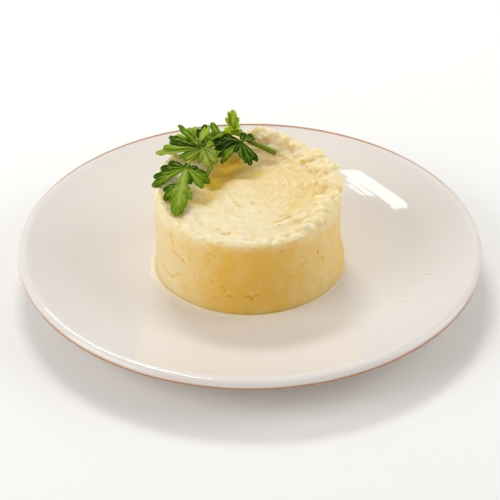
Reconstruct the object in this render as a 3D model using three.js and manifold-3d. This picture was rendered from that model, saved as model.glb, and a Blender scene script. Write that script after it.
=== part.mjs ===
// A side dish of mashed potato: a drum of mash turned out of a ring mould, with a sprig of
// flat-leaf parsley on top, in the middle of a shallow coupe plate.
// Millimetres, +Z up. The origin is on the table under the middle of the plate, +X is to the
// right and the front of the dish faces -Y.

import * as THREE from "three";
import { mergeVertices } from "three/addons/utils/BufferGeometryUtils.js";
import Module from "manifold-3d";

const wasm = await Module();
wasm.setup();

// ---- Driving dimensions ----

const GAP = 0.3; // air left between pieces that rest on each other

const PLATE = {
  radius: 105, // outer edge of the lip
  height: 19, // crest of the lip above the table
  floorTop: 7, // upper face of the well floor
  floorRadius: 30, // flat middle of the well
  slopeRadius: 97, // where the slope meets the lip
  slopeRise: 10.5, // climb of the slope up to the lip
  slopePower: 2.2, // how late the slope steepens
  wall: 4.4, // thickness of the slope
  lipReach: 4.8, // half the width of the rounded lip
  lipRise: 2.5, // half the height of the rounded lip
  footInner: 51.5, // inner edge of the ring it stands on
  footOuter: 55.5, // outer edge of that ring
  footFlare: 1.8, // how far the ring widens up to the wall
  recess: 2.5, // height of the underside within the foot ring
  facets: 54,
};

const MASH = {
  x: -1,
  y: -0.5, // the drum stands a touch off the plate's centre
  radius: 41.7,
  top: 46.2, // height of the smoothed top above the table
  edgeRound: 1.6, // rounding of the top edge
  facets: 72,
};

// The rim rises from a low front edge to a rough, high back edge.
const RIM = {
  frontAzimuth: -92,
  frontRise: -1.9, // the front edge lies this much below the smoothed top
  backRise: 4.2, // and the back edge this much above it
  levelWithin: 24, // degrees from the front that stay low
  fullBeyond: 104, // degrees from the front where the back height is reached
  inner: 25, // radius where the rise towards the rim begins
};

// Single lumps and gaps of the rim: place round the drum, height and half-width.
const RIM_LUMPS = [
  { azimuth: -34, radius: 40, rise: 1.2, width: 4 },
  { azimuth: 9, radius: 40, rise: 2.3, width: 5 },
  { azimuth: 27, radius: 39, rise: 1.2, width: 5 },
  { azimuth: 45, radius: 40, rise: -2.4, width: 4 },
  { azimuth: 77, radius: 38, rise: 3.1, width: 8 },
  { azimuth: 136, radius: 40, rise: -4.2, width: 7 },
  { azimuth: 167, radius: 40, rise: 0.8, width: 5 },
];

// Dents that the back of a spoon left in the top, each a trough between two points.
const DENTS = [
  { from: [-16, 8], to: [-8, 25], depth: 3.6, width: 6.5 },
  { from: [-21, -8], to: [-18, -4], depth: 2, width: 5 },
  { from: [-4, 13], to: [3, 14], depth: 1.3, width: 4.5 },
  { from: [20, -14], to: [27, -2], depth: 0.7, width: 4 },
];

// The foot of the drum squeezed out a little where the ring was lifted.
const FLARE = { azimuth: -6, reach: 2.3, spread: 36, height: 4, tall: 7 };

// Riced crumbs standing on the rough part of the rim.
const CRUMBS = {
  seed: 20,
  count: 46,
  fromAzimuth: -42,
  toAzimuth: 112,
  innerRadius: 30,
  small: 1.3,
  large: 3.4,
  clearOfSprig: 2,
};

// The sprig's stem, the thin stalks to its leaves, and the lobes of the leaves.
const STEM = { radius: 1.1, sides: 7, steps: 14 };
const STALK = { radius: 0.6, sides: 4, steps: 3 };
const LEAF = {
  thickness: 0.5,
  bluntLength: 22, // lobes longer than this have blunt teeth, the others pointed ones
  plainLength: 14, // lobes shorter than this have at most one tooth on a side
  midrib: 0.8, // share of the length along which veins leave the midrib
  veinLean: 0.9, // how far a vein runs ahead for its way out
  baseWidth: 0.03, // half-width where the lobe leaves its joint, as a share of its length
  wedgeRows: 0.34, // share of the rows that run up the wedge
  notchDepth: 0.16, // depth of the notch between two teeth, as a share of the vein
  toothRound: 0.45, // how blunt the teeth are, less being blunter
  fold: 0.16, // how the two halves of a lobe rise from the midrib
  droop: 0.9, // and how their edges turn down again
};

// Triangles that lie this near to one plane are joined, in millimetres.
const FLAT_ENOUGH = 0.03;

// ---- Small helpers ----

const vec = (x, y, z) => new THREE.Vector3(x, y, z);
const { degToRad, lerp, radToDeg, smoothstep } = THREE.MathUtils;

function bell(distance, width) {
  return Math.exp(-((distance / width) ** 2));
}

function degreesApart(a, b) {
  const turn = Math.abs(a - b) % 360;
  return Math.min(turn, 360 - turn);
}

function seededRandom(seed) {
  let state = seed;
  return () => {
    state = (state * 1664525 + 1013904223) % 4294967296;
    return state / 4294967296;
  };
}

// A closed three.js geometry as a solid that can be joined.
function toSolid(geometry) {
  const bare = geometry.clone();
  bare.deleteAttribute("normal");
  bare.deleteAttribute("uv");
  const merged = mergeVertices(bare, 1e-4);
  const corners = merged.index.array;
  const kept = [];
  for (let i = 0; i < corners.length; i += 3) {
    const [a, b, c] = corners.slice(i, i + 3);
    if (a !== b && b !== c && c !== a) kept.push(a, b, c);
  }
  return new wasm.Manifold(new wasm.Mesh({
    numProp: 3,
    vertProperties: new Float32Array(merged.attributes.position.array),
    triVerts: new Uint32Array(kept),
  }));
}

function toGeometry(solid) {
  const mesh = solid.getMesh();
  const geometry = new THREE.BufferGeometry();
  geometry.setAttribute("position", new THREE.BufferAttribute(mesh.vertProperties, 3));
  geometry.setIndex(new THREE.BufferAttribute(mesh.triVerts, 1));
  geometry.computeVertexNormals();
  return geometry;
}

function fuse(solids) {
  return solids.reduce((whole, next) => whole.add(next));
}

// A profile of radius and height turned about the upright axis.
function turned(profile, facets) {
  return new THREE.LatheGeometry(profile, facets).rotateX(Math.PI / 2);
}

// ---- Plate ----

// Height of the plate's upper face at a distance from its centre.
function plateTop(radius) {
  const { floorRadius, floorTop, slopePower, slopeRadius, slopeRise } = PLATE;
  const climb = Math.max(0, (radius - floorRadius) / (slopeRadius - floorRadius));
  return floorTop + slopeRise * climb ** slopePower;
}

function plateProfile() {
  const { footFlare, footInner, footOuter, height, lipReach, lipRise, radius, recess } = PLATE;
  const { floorRadius, slopeRadius, wall } = PLATE;
  const profile = [
    new THREE.Vector2(0, recess),
    new THREE.Vector2(footInner - footFlare, recess),
    new THREE.Vector2(footInner, 0),
    new THREE.Vector2(footOuter, 0),
  ];
  const undersideStart = footOuter + footFlare;
  const undersideSteps = 3;
  for (let i = 0; i <= undersideSteps; i += 1) {
    const r = lerp(undersideStart, slopeRadius, i / undersideSteps);
    profile.push(new THREE.Vector2(r, plateTop(r) - wall));
  }
  const lipFrom = -62; // degrees round the lip, from its underside over the nose to its crest
  const lipTo = 112;
  const lipSteps = 5;
  for (let i = 0; i <= lipSteps; i += 1) {
    const turn = degToRad(lerp(lipFrom, lipTo, i / lipSteps));
    const r = radius - lipReach + lipReach * Math.cos(turn);
    profile.push(new THREE.Vector2(r, height - lipRise + lipRise * Math.sin(turn)));
  }
  const slopeSteps = 6;
  for (let i = 0; i <= slopeSteps; i += 1) {
    const r = lerp(slopeRadius, floorRadius, i / slopeSteps);
    profile.push(new THREE.Vector2(r, plateTop(r)));
  }
  profile.push(new THREE.Vector2(0, PLATE.floorTop));
  return profile;
}

function makePlate() {
  return toSolid(turned(plateProfile(), PLATE.facets));
}

// ---- Mash ----

function azimuthOf(x, y) {
  return radToDeg(Math.atan2(y - MASH.y, x - MASH.x));
}

function distanceToSegment(x, y, from, to) {
  const segment = new THREE.Line3(vec(...from, 0), vec(...to, 0));
  const point = vec(x, y, 0);
  return segment.closestPointToPoint(point, true, vec(0, 0, 0)).distanceTo(point);
}

// Height of the drum's top at a point of the plan.
function mashTop(x, y) {
  const radius = Math.hypot(x - MASH.x, y - MASH.y);
  const azimuth = azimuthOf(x, y);
  const fromFront = degreesApart(azimuth, RIM.frontAzimuth);
  const towardsBack = smoothstep(fromFront, RIM.levelWithin, RIM.fullBeyond);
  const rise = lerp(RIM.frontRise, RIM.backRise, towardsBack);
  let height = MASH.top + rise * smoothstep(radius, RIM.inner, MASH.radius);
  for (const lump of RIM_LUMPS) {
    const turn = degToRad(lump.azimuth);
    const lumpX = MASH.x + lump.radius * Math.cos(turn);
    const lumpY = MASH.y + lump.radius * Math.sin(turn);
    height += lump.rise * bell(Math.hypot(x - lumpX, y - lumpY), lump.width);
  }
  for (const dent of DENTS) {
    height -= dent.depth * bell(distanceToSegment(x, y, dent.from, dent.to), dent.width);
  }
  return height;
}

// How far the wall bulges at a place round the drum and a height above the plate.
function flareAt(azimuth, height) {
  const round = bell(degreesApart(azimuth, FLARE.azimuth), FLARE.spread);
  return FLARE.reach * round * bell(height - FLARE.height, FLARE.tall);
}

function mashProfile() {
  const { edgeRound, radius, top } = MASH;
  const floor = PLATE.floorTop + GAP;
  const profile = [0, 16, 31].map((r) => new THREE.Vector2(r, floor));
  const wallSteps = 5;
  for (let i = 0; i <= wallSteps; i += 1) {
    profile.push(new THREE.Vector2(radius, lerp(floor, top - edgeRound, i / wallSteps)));
  }
  const roundSteps = 3;
  for (let i = 1; i <= roundSteps; i += 1) {
    const turn = (Math.PI / 2) * (i / roundSteps);
    const r = radius - edgeRound * (1 - Math.cos(turn));
    profile.push(new THREE.Vector2(r, top - edgeRound * (1 - Math.sin(turn))));
  }
  const topRings = 9;
  const smoothRadius = radius - edgeRound;
  for (let i = 1; i <= topRings; i += 1) {
    profile.push(new THREE.Vector2(smoothRadius * (1 - i / topRings), top));
  }
  return profile;
}

// The turned drum, with its foot, wall and top pushed to their true shape.
function mashDrum() {
  const drum = turned(mashProfile(), MASH.facets);
  const places = drum.attributes.position;
  const floor = PLATE.floorTop + GAP;
  const point = new THREE.Vector3();
  for (let i = 0; i < places.count; i += 1) {
    point.fromBufferAttribute(places, i);
    const azimuth = radToDeg(Math.atan2(point.y, point.x));
    const radius = Math.hypot(point.x, point.y);
    const edge = radius / MASH.radius;
    const stretch = radius > 0 ? 1 + (edge * flareAt(azimuth, point.z - floor)) / radius : 1;
    const x = MASH.x + point.x * stretch;
    const y = MASH.y + point.y * stretch;
    const bottom = plateTop(Math.hypot(x, y)) + GAP;
    const share = (point.z - floor) / (MASH.top - floor);
    places.setXYZ(i, x, y, lerp(bottom, mashTop(x, y), share));
  }
  return toSolid(drum);
}

function makeCrumbs() {
  const random = seededRandom(CRUMBS.seed);
  const crumbs = [];
  for (let i = 0; i < CRUMBS.count; i += 1) {
    const azimuth = lerp(CRUMBS.fromAzimuth, CRUMBS.toAzimuth, (i + random()) / CRUMBS.count);
    const outward = Math.sqrt(random());
    const size = lerp(CRUMBS.small, CRUMBS.large, random() * outward);
    const radius = lerp(CRUMBS.innerRadius, MASH.radius - size * 0.6, outward);
    const x = MASH.x + radius * Math.cos(degToRad(azimuth));
    const y = MASH.y + radius * Math.sin(degToRad(azimuth));
    const detail = size > 1.6 ? 1 : 0;
    const crumb = new THREE.IcosahedronGeometry(size, detail);
    crumb.scale(lerp(0.8, 1.3, random()), lerp(0.8, 1.3, random()), lerp(0.6, 1, random()));
    crumb.rotateZ(random() * Math.PI);
    crumb.rotateX(random() - 0.5);
    crumb.translate(x, y, mashTop(x, y) + size * lerp(-0.3, 0.25, random()));
    const room = size * 1.3 + CRUMBS.clearOfSprig;
    if (distanceToSprig(x, y) > room) crumbs.push(toSolid(crumb));
  }
  return crumbs;
}

function makeMash() {
  return fuse([mashDrum(), ...makeCrumbs()]).simplify(FLAT_ENOUGH);
}

// ---- Parsley sprig ----

// The stem from its cut end, over the top of the mash, to the last leaf joint.
const STEM_ROUTE = [
  vec(11.8, 25.1, 49.4),
  vec(5.5, 26.5, 52),
  vec(0, 27.2, 54.5),
  vec(-3.2, 29.6, 56),
  vec(-8.2, 30.6, 57),
  vec(-14.6, 29.7, 57),
  vec(-19.5, 26.1, 56),
  vec(-21.7, 20.3, 55),
];

// Thin stalks that branch off the stem, each from its start to the joint of its leaf.
const JOINT = {
  front: vec(-28.3, 4.6, 54.5),
  fork: vec(-30, -5.4, 52.95),
  hanging: vec(-4.3, 24.8, 56),
  upright: vec(-5.5, 31.4, 57.5),
  foot: vec(-8, 31.2, 57.6),
  spiky: vec(-14.8, 29.4, 57.4),
  flat: vec(-10.2, 30.4, 57.6),
  left: vec(-21.7, 20.3, 55.2),
  middle: vec(-20.7, 18.8, 56.2),
  drop: vec(-16.8, 11.5, 53),
  back: vec(-23.6, 28.6, 55.5),
  bright: vec(-22.6, 24.4, 55.5),
};

const STALKS = [
  [vec(-21.7, 20.3, 55), vec(-24.9, 13.6, 55), JOINT.front],
  [vec(-3.2, 29.6, 56), JOINT.hanging],
  [vec(-8.2, 30.6, 57), JOINT.upright, vec(-6.6, 31.5, 60)],
  [vec(-21.7, 20.3, 55), JOINT.bright, JOINT.back],
  [vec(-21.7, 20.3, 55), JOINT.middle],
];

// The lobes of the leaves. Each is a narrow wedge from a joint that widens to its shoulder and ends
// in a rounded, toothed tip, and the lobes that leave one joint make up a leaf. Width is the
// half-width at the shoulder and shoulder the place of that, both as shares of the lobe's length.
// Bow lifts its middle, and roll turns it about its midrib.
const LOBES = [
  { joint: "front", tip: vec(-36.6, 12.7, 52.6), width: 0.14, teeth: 1, shoulder: 0.66, bow: 0.4, roll: -6 },
  { joint: "front", tip: vec(-40.3, 8.8, 51.6), width: 0.15, teeth: 1, shoulder: 0.7, bow: 0.6, roll: -4 },
  { joint: "front", tip: vec(-43.1, 2.8, 50.6), width: 0.12, teeth: 1, shoulder: 0.74, bow: 0.8, roll: 0 },
  { joint: "front", tip: vec(-43.5, -3.5, 49.6), width: 0.13, teeth: 2, shoulder: 0.72, bow: 1, roll: 4 },
  { joint: "fork", tip: vec(-38.5, -7, 50), width: 0.18, teeth: 1, shoulder: 0.66, bow: 0.6, roll: 4 },
  { joint: "fork", tip: vec(-37.8, -12.5, 48.6), width: 0.2, teeth: 2, shoulder: 0.62, bow: 0.8, roll: 4 },
  { joint: "fork", tip: vec(-26.4, -8.5, 51), width: 0.24, teeth: 1, shoulder: 0.6, bow: 0.4, roll: 0 },
  { joint: "fork", tip: vec(-25.8, -13, 49.2), width: 0.18, teeth: 2, shoulder: 0.64, bow: 0.6, roll: 0 },
  { joint: "front", tip: vec(-32.2, -22.8, 47.2), width: 0.14, teeth: 3, shoulder: 0.66, bow: 1.6, roll: 0 },
  { joint: "front", tip: vec(-26.3, -4.1, 51.6), width: 0.2, teeth: 1, shoulder: 0.66, bow: 0.3, roll: 0 },
  { joint: "front", tip: vec(-19.4, 4.2, 51.6), width: 0.15, teeth: 1, shoulder: 0.7, bow: 0.6, roll: 6 },
  { joint: "front", tip: vec(-17.7, -1.7, 50.6), width: 0.15, teeth: 2, shoulder: 0.7, bow: 0.9, roll: 10 },
  { joint: "front", tip: vec(-20.8, -6, 50.8), width: 0.14, teeth: 1, shoulder: 0.7, bow: 0.9, roll: 6 },
  { joint: "front", tip: vec(-23, 5.8, 54), width: 0.26, teeth: 2, shoulder: 0.56, bow: 0.2, roll: 0 },
  { joint: "front", tip: vec(-27.7, 8.9, 54.6), width: 0.34, teeth: 1, shoulder: 0.5, bow: 0.1, roll: 0 },
  { joint: "left", tip: vec(-36.8, 26.2, 57.6), width: 0.13, teeth: 2, shoulder: 0.72, bow: 0.5, roll: 10 },
  { joint: "left", tip: vec(-36.6, 23.2, 56.6), width: 0.11, teeth: 1, shoulder: 0.76, bow: 0.5, roll: 10 },
  { joint: "left", tip: vec(-39.3, 20.5, 55.6), width: 0.12, teeth: 1, shoulder: 0.74, bow: 0.6, roll: 10 },
  { joint: "left", tip: vec(-42.6, 18.3, 53.6), width: 0.12, teeth: 2, shoulder: 0.66, bow: 0.6, roll: 14 },
  { joint: "left", tip: vec(-31.9, 16.6, 52.4), width: 0.14, teeth: 1, shoulder: 0.7, bow: 0.4, roll: -8 },
  { joint: "left", tip: vec(-29.9, 14.5, 52), width: 0.12, teeth: 1, shoulder: 0.7, bow: 0.3, roll: -8 },
  { joint: "left", tip: vec(-33.6, 29, 57.4), width: 0.08, teeth: 1, shoulder: 0.5, bow: 0.4, roll: 10 },
  { joint: "left", tip: vec(-32.6, 31.8, 60.6), width: 0.12, teeth: 2, shoulder: 0.36, bow: 0, roll: 10 },
  { joint: "back", tip: vec(-28.5, 34, 57.6), width: 0.24, teeth: 1, shoulder: 0.62, bow: 0.3, roll: 0 },
  { joint: "back", tip: vec(-25.3, 33.9, 58.4), width: 0.3, teeth: 1, shoulder: 0.62, bow: 0.2, roll: 0 },
  { joint: "back", tip: vec(-23.4, 31.8, 58.6), width: 0.24, teeth: 1, shoulder: 0.66, bow: 0.2, roll: 0 },
  { joint: "back", tip: vec(-20.1, 33.2, 60), width: 0.18, teeth: 1, shoulder: 0.6, bow: 0.1, roll: 0 },
  { joint: "bright", tip: vec(-18.7, 33.5, 59.6), width: 0.19, teeth: 1, shoulder: 0.36, bow: 0.2, roll: 0 },
  { joint: "bright", tip: vec(-25, 26.1, 55.2), width: 0.5, teeth: 1, shoulder: 0.5, bow: 0.1, roll: 0 },
  { joint: "bright", tip: vec(-15.2, 29.6, 58.4), width: 0.16, teeth: 2, shoulder: 0.6, bow: 0.2, roll: 0 },
  { joint: "spiky", tip: vec(-17.6, 34, 60.6), width: 0.3, teeth: 1, shoulder: 0.16, bow: 0.1, roll: 0 },
  { joint: "flat", tip: vec(-20.4, 25.1, 56.6), width: 0.15, teeth: 2, shoulder: 0.4, bow: 0.2, roll: 0 },
  { joint: "middle", tip: vec(-21.4, 23.1, 58), width: 0.26, teeth: 1, shoulder: 0.5, bow: 0, roll: 0 },
  { joint: "middle", tip: vec(-16.5, 23.5, 56.4), width: 0.28, teeth: 2, shoulder: 0.6, bow: 0.2, roll: 0 },
  { joint: "middle", tip: vec(-14.2, 15.4, 54.6), width: 0.22, teeth: 1, shoulder: 0.66, bow: 0.4, roll: 0 },
  { joint: "middle", tip: vec(-15, 11, 52.6), width: 0.22, teeth: 2, shoulder: 0.68, bow: 0.6, roll: 0 },
  { joint: "middle", tip: vec(-18.4, 9.6, 52), width: 0.18, teeth: 1, shoulder: 0.7, bow: 0.6, roll: 0 },
  { joint: "middle", tip: vec(-23.1, 12.7, 51.8), width: 0.18, teeth: 2, shoulder: 0.66, bow: 0.4, roll: 0 },
  { joint: "middle", tip: vec(-26.1, 14.8, 52.2), width: 0.16, teeth: 1, shoulder: 0.66, bow: 0.4, roll: 0 },
  { joint: "drop", tip: vec(-19.6, 6.2, 48.4), width: 0.14, teeth: 1, shoulder: 0.3, bow: 0.2, roll: 0 },
  { joint: "hanging", tip: vec(-2.5, 30.2, 57.6), width: 0.28, teeth: 1, shoulder: 0.56, bow: 0.1, roll: 0 },
  { joint: "hanging", tip: vec(1.3, 28.8, 57.2), width: 0.26, teeth: 1, shoulder: 0.66, bow: 0.2, roll: 0 },
  { joint: "hanging", tip: vec(2.5, 26.2, 56.8), width: 0.16, teeth: 1, shoulder: 0.66, bow: 0.2, roll: 0 },
  { joint: "hanging", tip: vec(-6.9, 18.6, 54.2), width: 0.18, teeth: 2, shoulder: 0.62, bow: 0.2, roll: 0 },
  { joint: "hanging", tip: vec(-4.1, 16.1, 52.8), width: 0.15, teeth: 1, shoulder: 0.66, bow: 0.4, roll: 0 },
  { joint: "hanging", tip: vec(-1.8, 13.7, 51.4), width: 0.11, teeth: 1, shoulder: 0.72, bow: 0.6, roll: 0 },
  { joint: "hanging", tip: vec(0.4, 12.4, 51.2), width: 0.12, teeth: 1, shoulder: 0.74, bow: 0.8, roll: 0 },
  { joint: "hanging", tip: vec(3.4, 15.4, 51.4), width: 0.12, teeth: 2, shoulder: 0.7, bow: 0.8, roll: 0 },
  { joint: "hanging", tip: vec(-17.9, 26.3, 54.6), width: 0.26, teeth: 2, shoulder: 0.5, bow: 0.5, roll: 10 },
  { joint: "hanging", tip: vec(-15, 28.5, 56), width: 0.26, teeth: 3, shoulder: 0.46, bow: 0.5, roll: 10 },
  { joint: "hanging", tip: vec(-16.5, 22.9, 52.4), width: 0.13, teeth: 1, shoulder: 0.6, bow: 0.4, roll: 0 },
  { joint: "hanging", tip: vec(-14.7, 18.5, 51.6), width: 0.11, teeth: 1, shoulder: 0.66, bow: 0.5, roll: 0 },
  { joint: "hanging", tip: vec(-13.1, 15.2, 50.4), width: 0.12, teeth: 2, shoulder: 0.62, bow: 0.8, roll: 0 },
  { joint: "foot", tip: vec(-7.7, 30.9, 68.7), width: 0.19, teeth: 1, shoulder: 0.6, bow: 0, roll: 0 },
  { joint: "foot", tip: vec(-9.8, 30.9, 67.8), width: 0.07, teeth: 0, shoulder: 0.8, bow: 0, roll: 0 },
  { joint: "foot", tip: vec(-10.9, 31, 64.7), width: 0.11, teeth: 0, shoulder: 0.8, bow: 0, roll: 0 },
  { joint: "foot", tip: vec(-5.2, 31.2, 64.6), width: 0.15, teeth: 1, shoulder: 0.66, bow: 0, roll: 0 },
  { joint: "foot", tip: vec(-4.8, 31.2, 61.1), width: 0.3, teeth: 0, shoulder: 0.5, bow: 0, roll: 0 },
  { joint: "upright", tip: vec(-11.8, 31.2, 58.7), width: 0.34, teeth: 2, shoulder: 0.5, bow: 0, roll: 0 },
  { joint: "upright", tip: vec(-10, 31.2, 62.2), width: 0.34, teeth: 1, shoulder: 0.5, bow: 0, roll: 0 },
  { joint: "foot", tip: vec(-3.4, 31.4, 57.6), width: 0.3, teeth: 1, shoulder: 0.5, bow: 0, roll: 0 },
];

function distanceToSprig(x, y) {
  let nearest = Infinity;
  for (let i = 1; i < STEM_ROUTE.length; i += 1) {
    const from = STEM_ROUTE[i - 1];
    const to = STEM_ROUTE[i];
    nearest = Math.min(nearest, distanceToSegment(x, y, [from.x, from.y], [to.x, to.y]));
  }
  return nearest;
}

// A round stalk along a smooth route.
function stalk(route, { radius, sides, steps }) {
  const section = new THREE.Shape();
  for (let i = 0; i < sides; i += 1) {
    const turn = (i / sides) * 2 * Math.PI;
    const corner = [radius * Math.cos(turn), radius * Math.sin(turn)];
    if (i === 0) section.moveTo(...corner);
    else section.lineTo(...corner);
  }
  section.closePath();
  const extrudePath = new THREE.CatmullRomCurve3(route, false, "centripetal");
  return toSolid(new THREE.ExtrudeGeometry(section, { extrudePath, steps }));
}

// Outline of a lobe of unit length. Veins leave the midrib one after another: the row says which
// vein, from 0 at the base to 1 at the tip, and the column how far out along it, from -1 on one
// side of the midrib to 1 on the other. The first rows run up the straight wedge, the others
// round the end, where teeth are blunt with a notch after each.
function lobePoint(row, column, { width, teeth, shoulder }) {
  let along;
  let across;
  if (row < LEAF.wedgeRows) {
    const share = row / LEAF.wedgeRows;
    along = shoulder * share;
    across = lerp(LEAF.baseWidth, width, share ** 1.15);
  } else {
    const turn = ((row - LEAF.wedgeRows) / (1 - LEAF.wedgeRows)) * (Math.PI / 2);
    along = shoulder + (1 - shoulder) * Math.sin(turn);
    across = width * Math.max(0, Math.cos(turn)) ** 0.8;
  }
  const veinStart = LEAF.midrib * Math.max(0, along - across * LEAF.veinLean);
  const phase = toothPhase(row, teeth);
  const tooth = phase > 0 ? Math.abs(Math.sin(Math.PI * phase)) ** LEAF.toothRound : 0;
  const notch = LEAF.notchDepth * smoothstep(phase, 0, 0.9);
  const out = Math.abs(column) * (1 - notch * (1 - tooth));
  return [veinStart + (along - veinStart) * out, Math.sign(column) * across * out];
}

// Teeth are counted along the rows from halfway up the wedge. The tip is half a tooth.
function toothPhase(row, teeth) {
  const from = LEAF.wedgeRows / 2;
  return ((row - from) / (1 - from)) * (teeth + 0.5);
}

function toothRow(phase, teeth) {
  const from = LEAF.wedgeRows / 2;
  return Math.min(1, from + ((1 - from) * phase) / (teeth + 0.5));
}

// The rows of a lobe's grid, from base to tip. Each tooth has the two corners of its blunt end, or
// on a shorter lobe one point, and a notch after it.
function lobeRows(teeth, isBlunt) {
  const corners = isBlunt ? [0.28, 0.72] : [0.5];
  const rows = [0];
  for (let tooth = 0; tooth < teeth; tooth += 1) {
    for (const corner of corners) rows.push(toothRow(tooth + corner, teeth));
    rows.push(toothRow(tooth + 1, teeth));
  }
  if (isBlunt || teeth === 0) rows.push(toothRow(teeth + 0.25, teeth));
  rows.push(1);
  return rows;
}

// A lobe is a thin wavy sheet. Its two faces are the same grid of triangles, a rim closes
// the two sides and the base, and the last row closes on itself along the midrib.
function lobe({ joint, tip, width, teeth, shoulder, bow, roll }) {
  const base = JOINT[joint];
  const length = base.distanceTo(tip);
  const ahead = tip.clone().sub(base).normalize();
  const up = Math.abs(ahead.z) > 0.8 ? vec(0, -1, 0.4) : vec(0, -0.35, 1);
  const side = ahead.clone().cross(up).normalize().applyAxisAngle(ahead, degToRad(roll));
  const normal = side.clone().cross(ahead).normalize();
  const shownTeeth = length < LEAF.plainLength ? Math.min(teeth, 1) : teeth;
  const rowList = lobeRows(shownTeeth, length > LEAF.bluntLength);
  const rows = rowList.length - 1;
  const columns = 2;
  const grid = new THREE.PlaneGeometry(2, 1, columns, rows);
  const places = grid.attributes.position;
  const upper = [];
  const lower = [];
  for (let i = 0; i < places.count; i += 1) {
    const row = rowList[rows - Math.floor(i / (columns + 1))];
    const column = places.getX(i);
    const [along, across] = lobePoint(row, column, { width, teeth: shownTeeth, shoulder });
    const halfFold = LEAF.fold * Math.abs(across) - LEAF.droop * across ** 2;
    const lift = bow * Math.sin(Math.PI * along) + halfFold * length;
    const point = base.clone()
      .addScaledVector(ahead, along * length)
      .addScaledVector(side, across * length)
      .addScaledVector(normal, lift);
    const rest = mashTop(point.x, point.y) + GAP + LEAF.thickness;
    const fromAxis = Math.hypot(point.x - MASH.x, point.y - MASH.y);
    if (fromAxis < MASH.radius + 3) point.z = Math.max(point.z, rest);
    upper.push(...point);
    lower.push(...point.addScaledVector(normal, -LEAF.thickness));
  }
  const corners = [];
  const count = places.count;
  const faces = grid.index.array;
  for (let i = 0; i < faces.length; i += 3) {
    const [a, b, c] = faces.slice(i, i + 3);
    corners.push(a, b, c, count + c, count + b, count + a);
  }
  const wide = columns + 1;
  const edge = [];
  for (let row = 0; row < rows; row += 1) {
    edge.push([row * wide, (row + 1) * wide]);
    edge.push([(row + 1) * wide + columns, row * wide + columns]);
  }
  for (let i = 0; i < columns; i += 1) edge.push([rows * wide + i, rows * wide + i + 1]);
  for (const [a, b] of edge) corners.push(b, a, count + a, b, count + a, count + b);
  const sheet = new THREE.BufferGeometry();
  sheet.setAttribute("position", new THREE.Float32BufferAttribute([...upper, ...lower], 3));
  sheet.setIndex(corners);
  return toSolid(sheet);
}

function makeSprig() {
  const stem = stalk(STEM_ROUTE, STEM);
  const stalks = STALKS.map((route) => stalk(route, STALK));
  return fuse([stem, ...stalks, ...LOBES.map(lobe)]).simplify(FLAT_ENOUGH);
}

// ---- The dish ----

function piece(name, solid, colour, roughness) {
  const material = new THREE.MeshStandardMaterial({ color: colour, roughness, metalness: 0 });
  const mesh = new THREE.Mesh(toGeometry(solid), material);
  mesh.name = name;
  return mesh;
}

const dish = new THREE.Group();
dish.add(piece("plate", makePlate(), 0xede6dc, 0.12));
dish.add(piece("mash", makeMash(), 0xefdaa4, 0.55));
dish.add(piece("parsley_sprig", makeSprig(), 0x5f7d1f, 0.5));

export default dish;
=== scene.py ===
# %% [markdown]
# # Mashed potato with parsley on a coupe plate
#
# The dish is three things: a shallow glazed plate, a drum of mash turned out of a ring mould, and
# a sprig of flat-leaf parsley laid on its top. This lesson starts from the plain solids of the
# dish, which give the size and place of everything, and builds a finely shaped piece in the
# place of each one. Lengths are in millimetres while a piece is being shaped, and each finished
# piece is scaled to metres once, at the end of its making.

# %% Load the plain solids
import math
import random
from functools import partial

import bmesh
import bpy
import numpy as np
from mathutils import Matrix, Vector, noise


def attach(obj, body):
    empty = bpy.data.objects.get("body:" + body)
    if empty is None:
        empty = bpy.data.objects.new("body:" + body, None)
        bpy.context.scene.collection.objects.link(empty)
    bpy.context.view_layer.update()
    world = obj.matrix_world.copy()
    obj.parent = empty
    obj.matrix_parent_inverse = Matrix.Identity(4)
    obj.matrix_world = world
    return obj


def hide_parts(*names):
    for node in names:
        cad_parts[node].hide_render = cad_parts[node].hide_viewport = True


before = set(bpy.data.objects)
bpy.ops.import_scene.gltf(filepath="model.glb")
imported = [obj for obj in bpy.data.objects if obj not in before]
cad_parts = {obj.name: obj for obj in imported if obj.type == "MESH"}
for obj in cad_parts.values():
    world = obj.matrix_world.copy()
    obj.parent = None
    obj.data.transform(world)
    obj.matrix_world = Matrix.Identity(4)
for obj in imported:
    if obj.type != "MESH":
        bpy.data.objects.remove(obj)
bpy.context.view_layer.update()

MM = 0.001
print("plain solids:", sorted(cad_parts))

# %% [markdown]
# ## Camera
#
# The dish is seen from the front, from about 34 degrees above the table. A long lens keeps the
# ellipse of the plate even, as in a picture taken from arm's length and cropped.

# %% Camera
VIEW_ELEVATION = math.radians(34.4)
VIEW_DISTANCE = 0.9
VIEW_AIM = Vector((0, 0, 0.0134))
VIEW_LENS, VIEW_SENSOR = 142.5, 36


def point_at(holder, target):
    """Turns a camera or a light so that it looks at the target."""
    holder.rotation_euler = (target - holder.location).to_track_quat("-Z", "Y").to_euler()


camera = bpy.data.objects.new("camera", bpy.data.cameras.new("camera"))
bpy.context.scene.collection.objects.link(camera)
camera.data.lens = VIEW_LENS
camera.data.sensor_width = VIEW_SENSOR
view_back = Vector((0, -math.cos(VIEW_ELEVATION), math.sin(VIEW_ELEVATION)))
camera.location = VIEW_AIM + view_back * VIEW_DISTANCE
point_at(camera, VIEW_AIM)
bpy.context.scene.camera = camera
bpy.context.scene.view_settings.view_transform = "Standard"
print("camera stands at", [round(value, 3) for value in camera.location])

# %% [markdown]
# ## Light
#
# A soft box behind the dish gives the mash its glow from above, and two wide, weak panels at the
# sides keep the drum's flanks pale. The front of the drum is left to the light that comes through
# the mash and off the plate. The glaze doesn't mirror the soft box. It mirrors strips of light,
# which light nothing themselves: one wide and two thin ones behind the dish, and a long one high
# up on the left that draws the line of light round the lip, with a weaker one beside it for the
# inner side of the lip.

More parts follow.
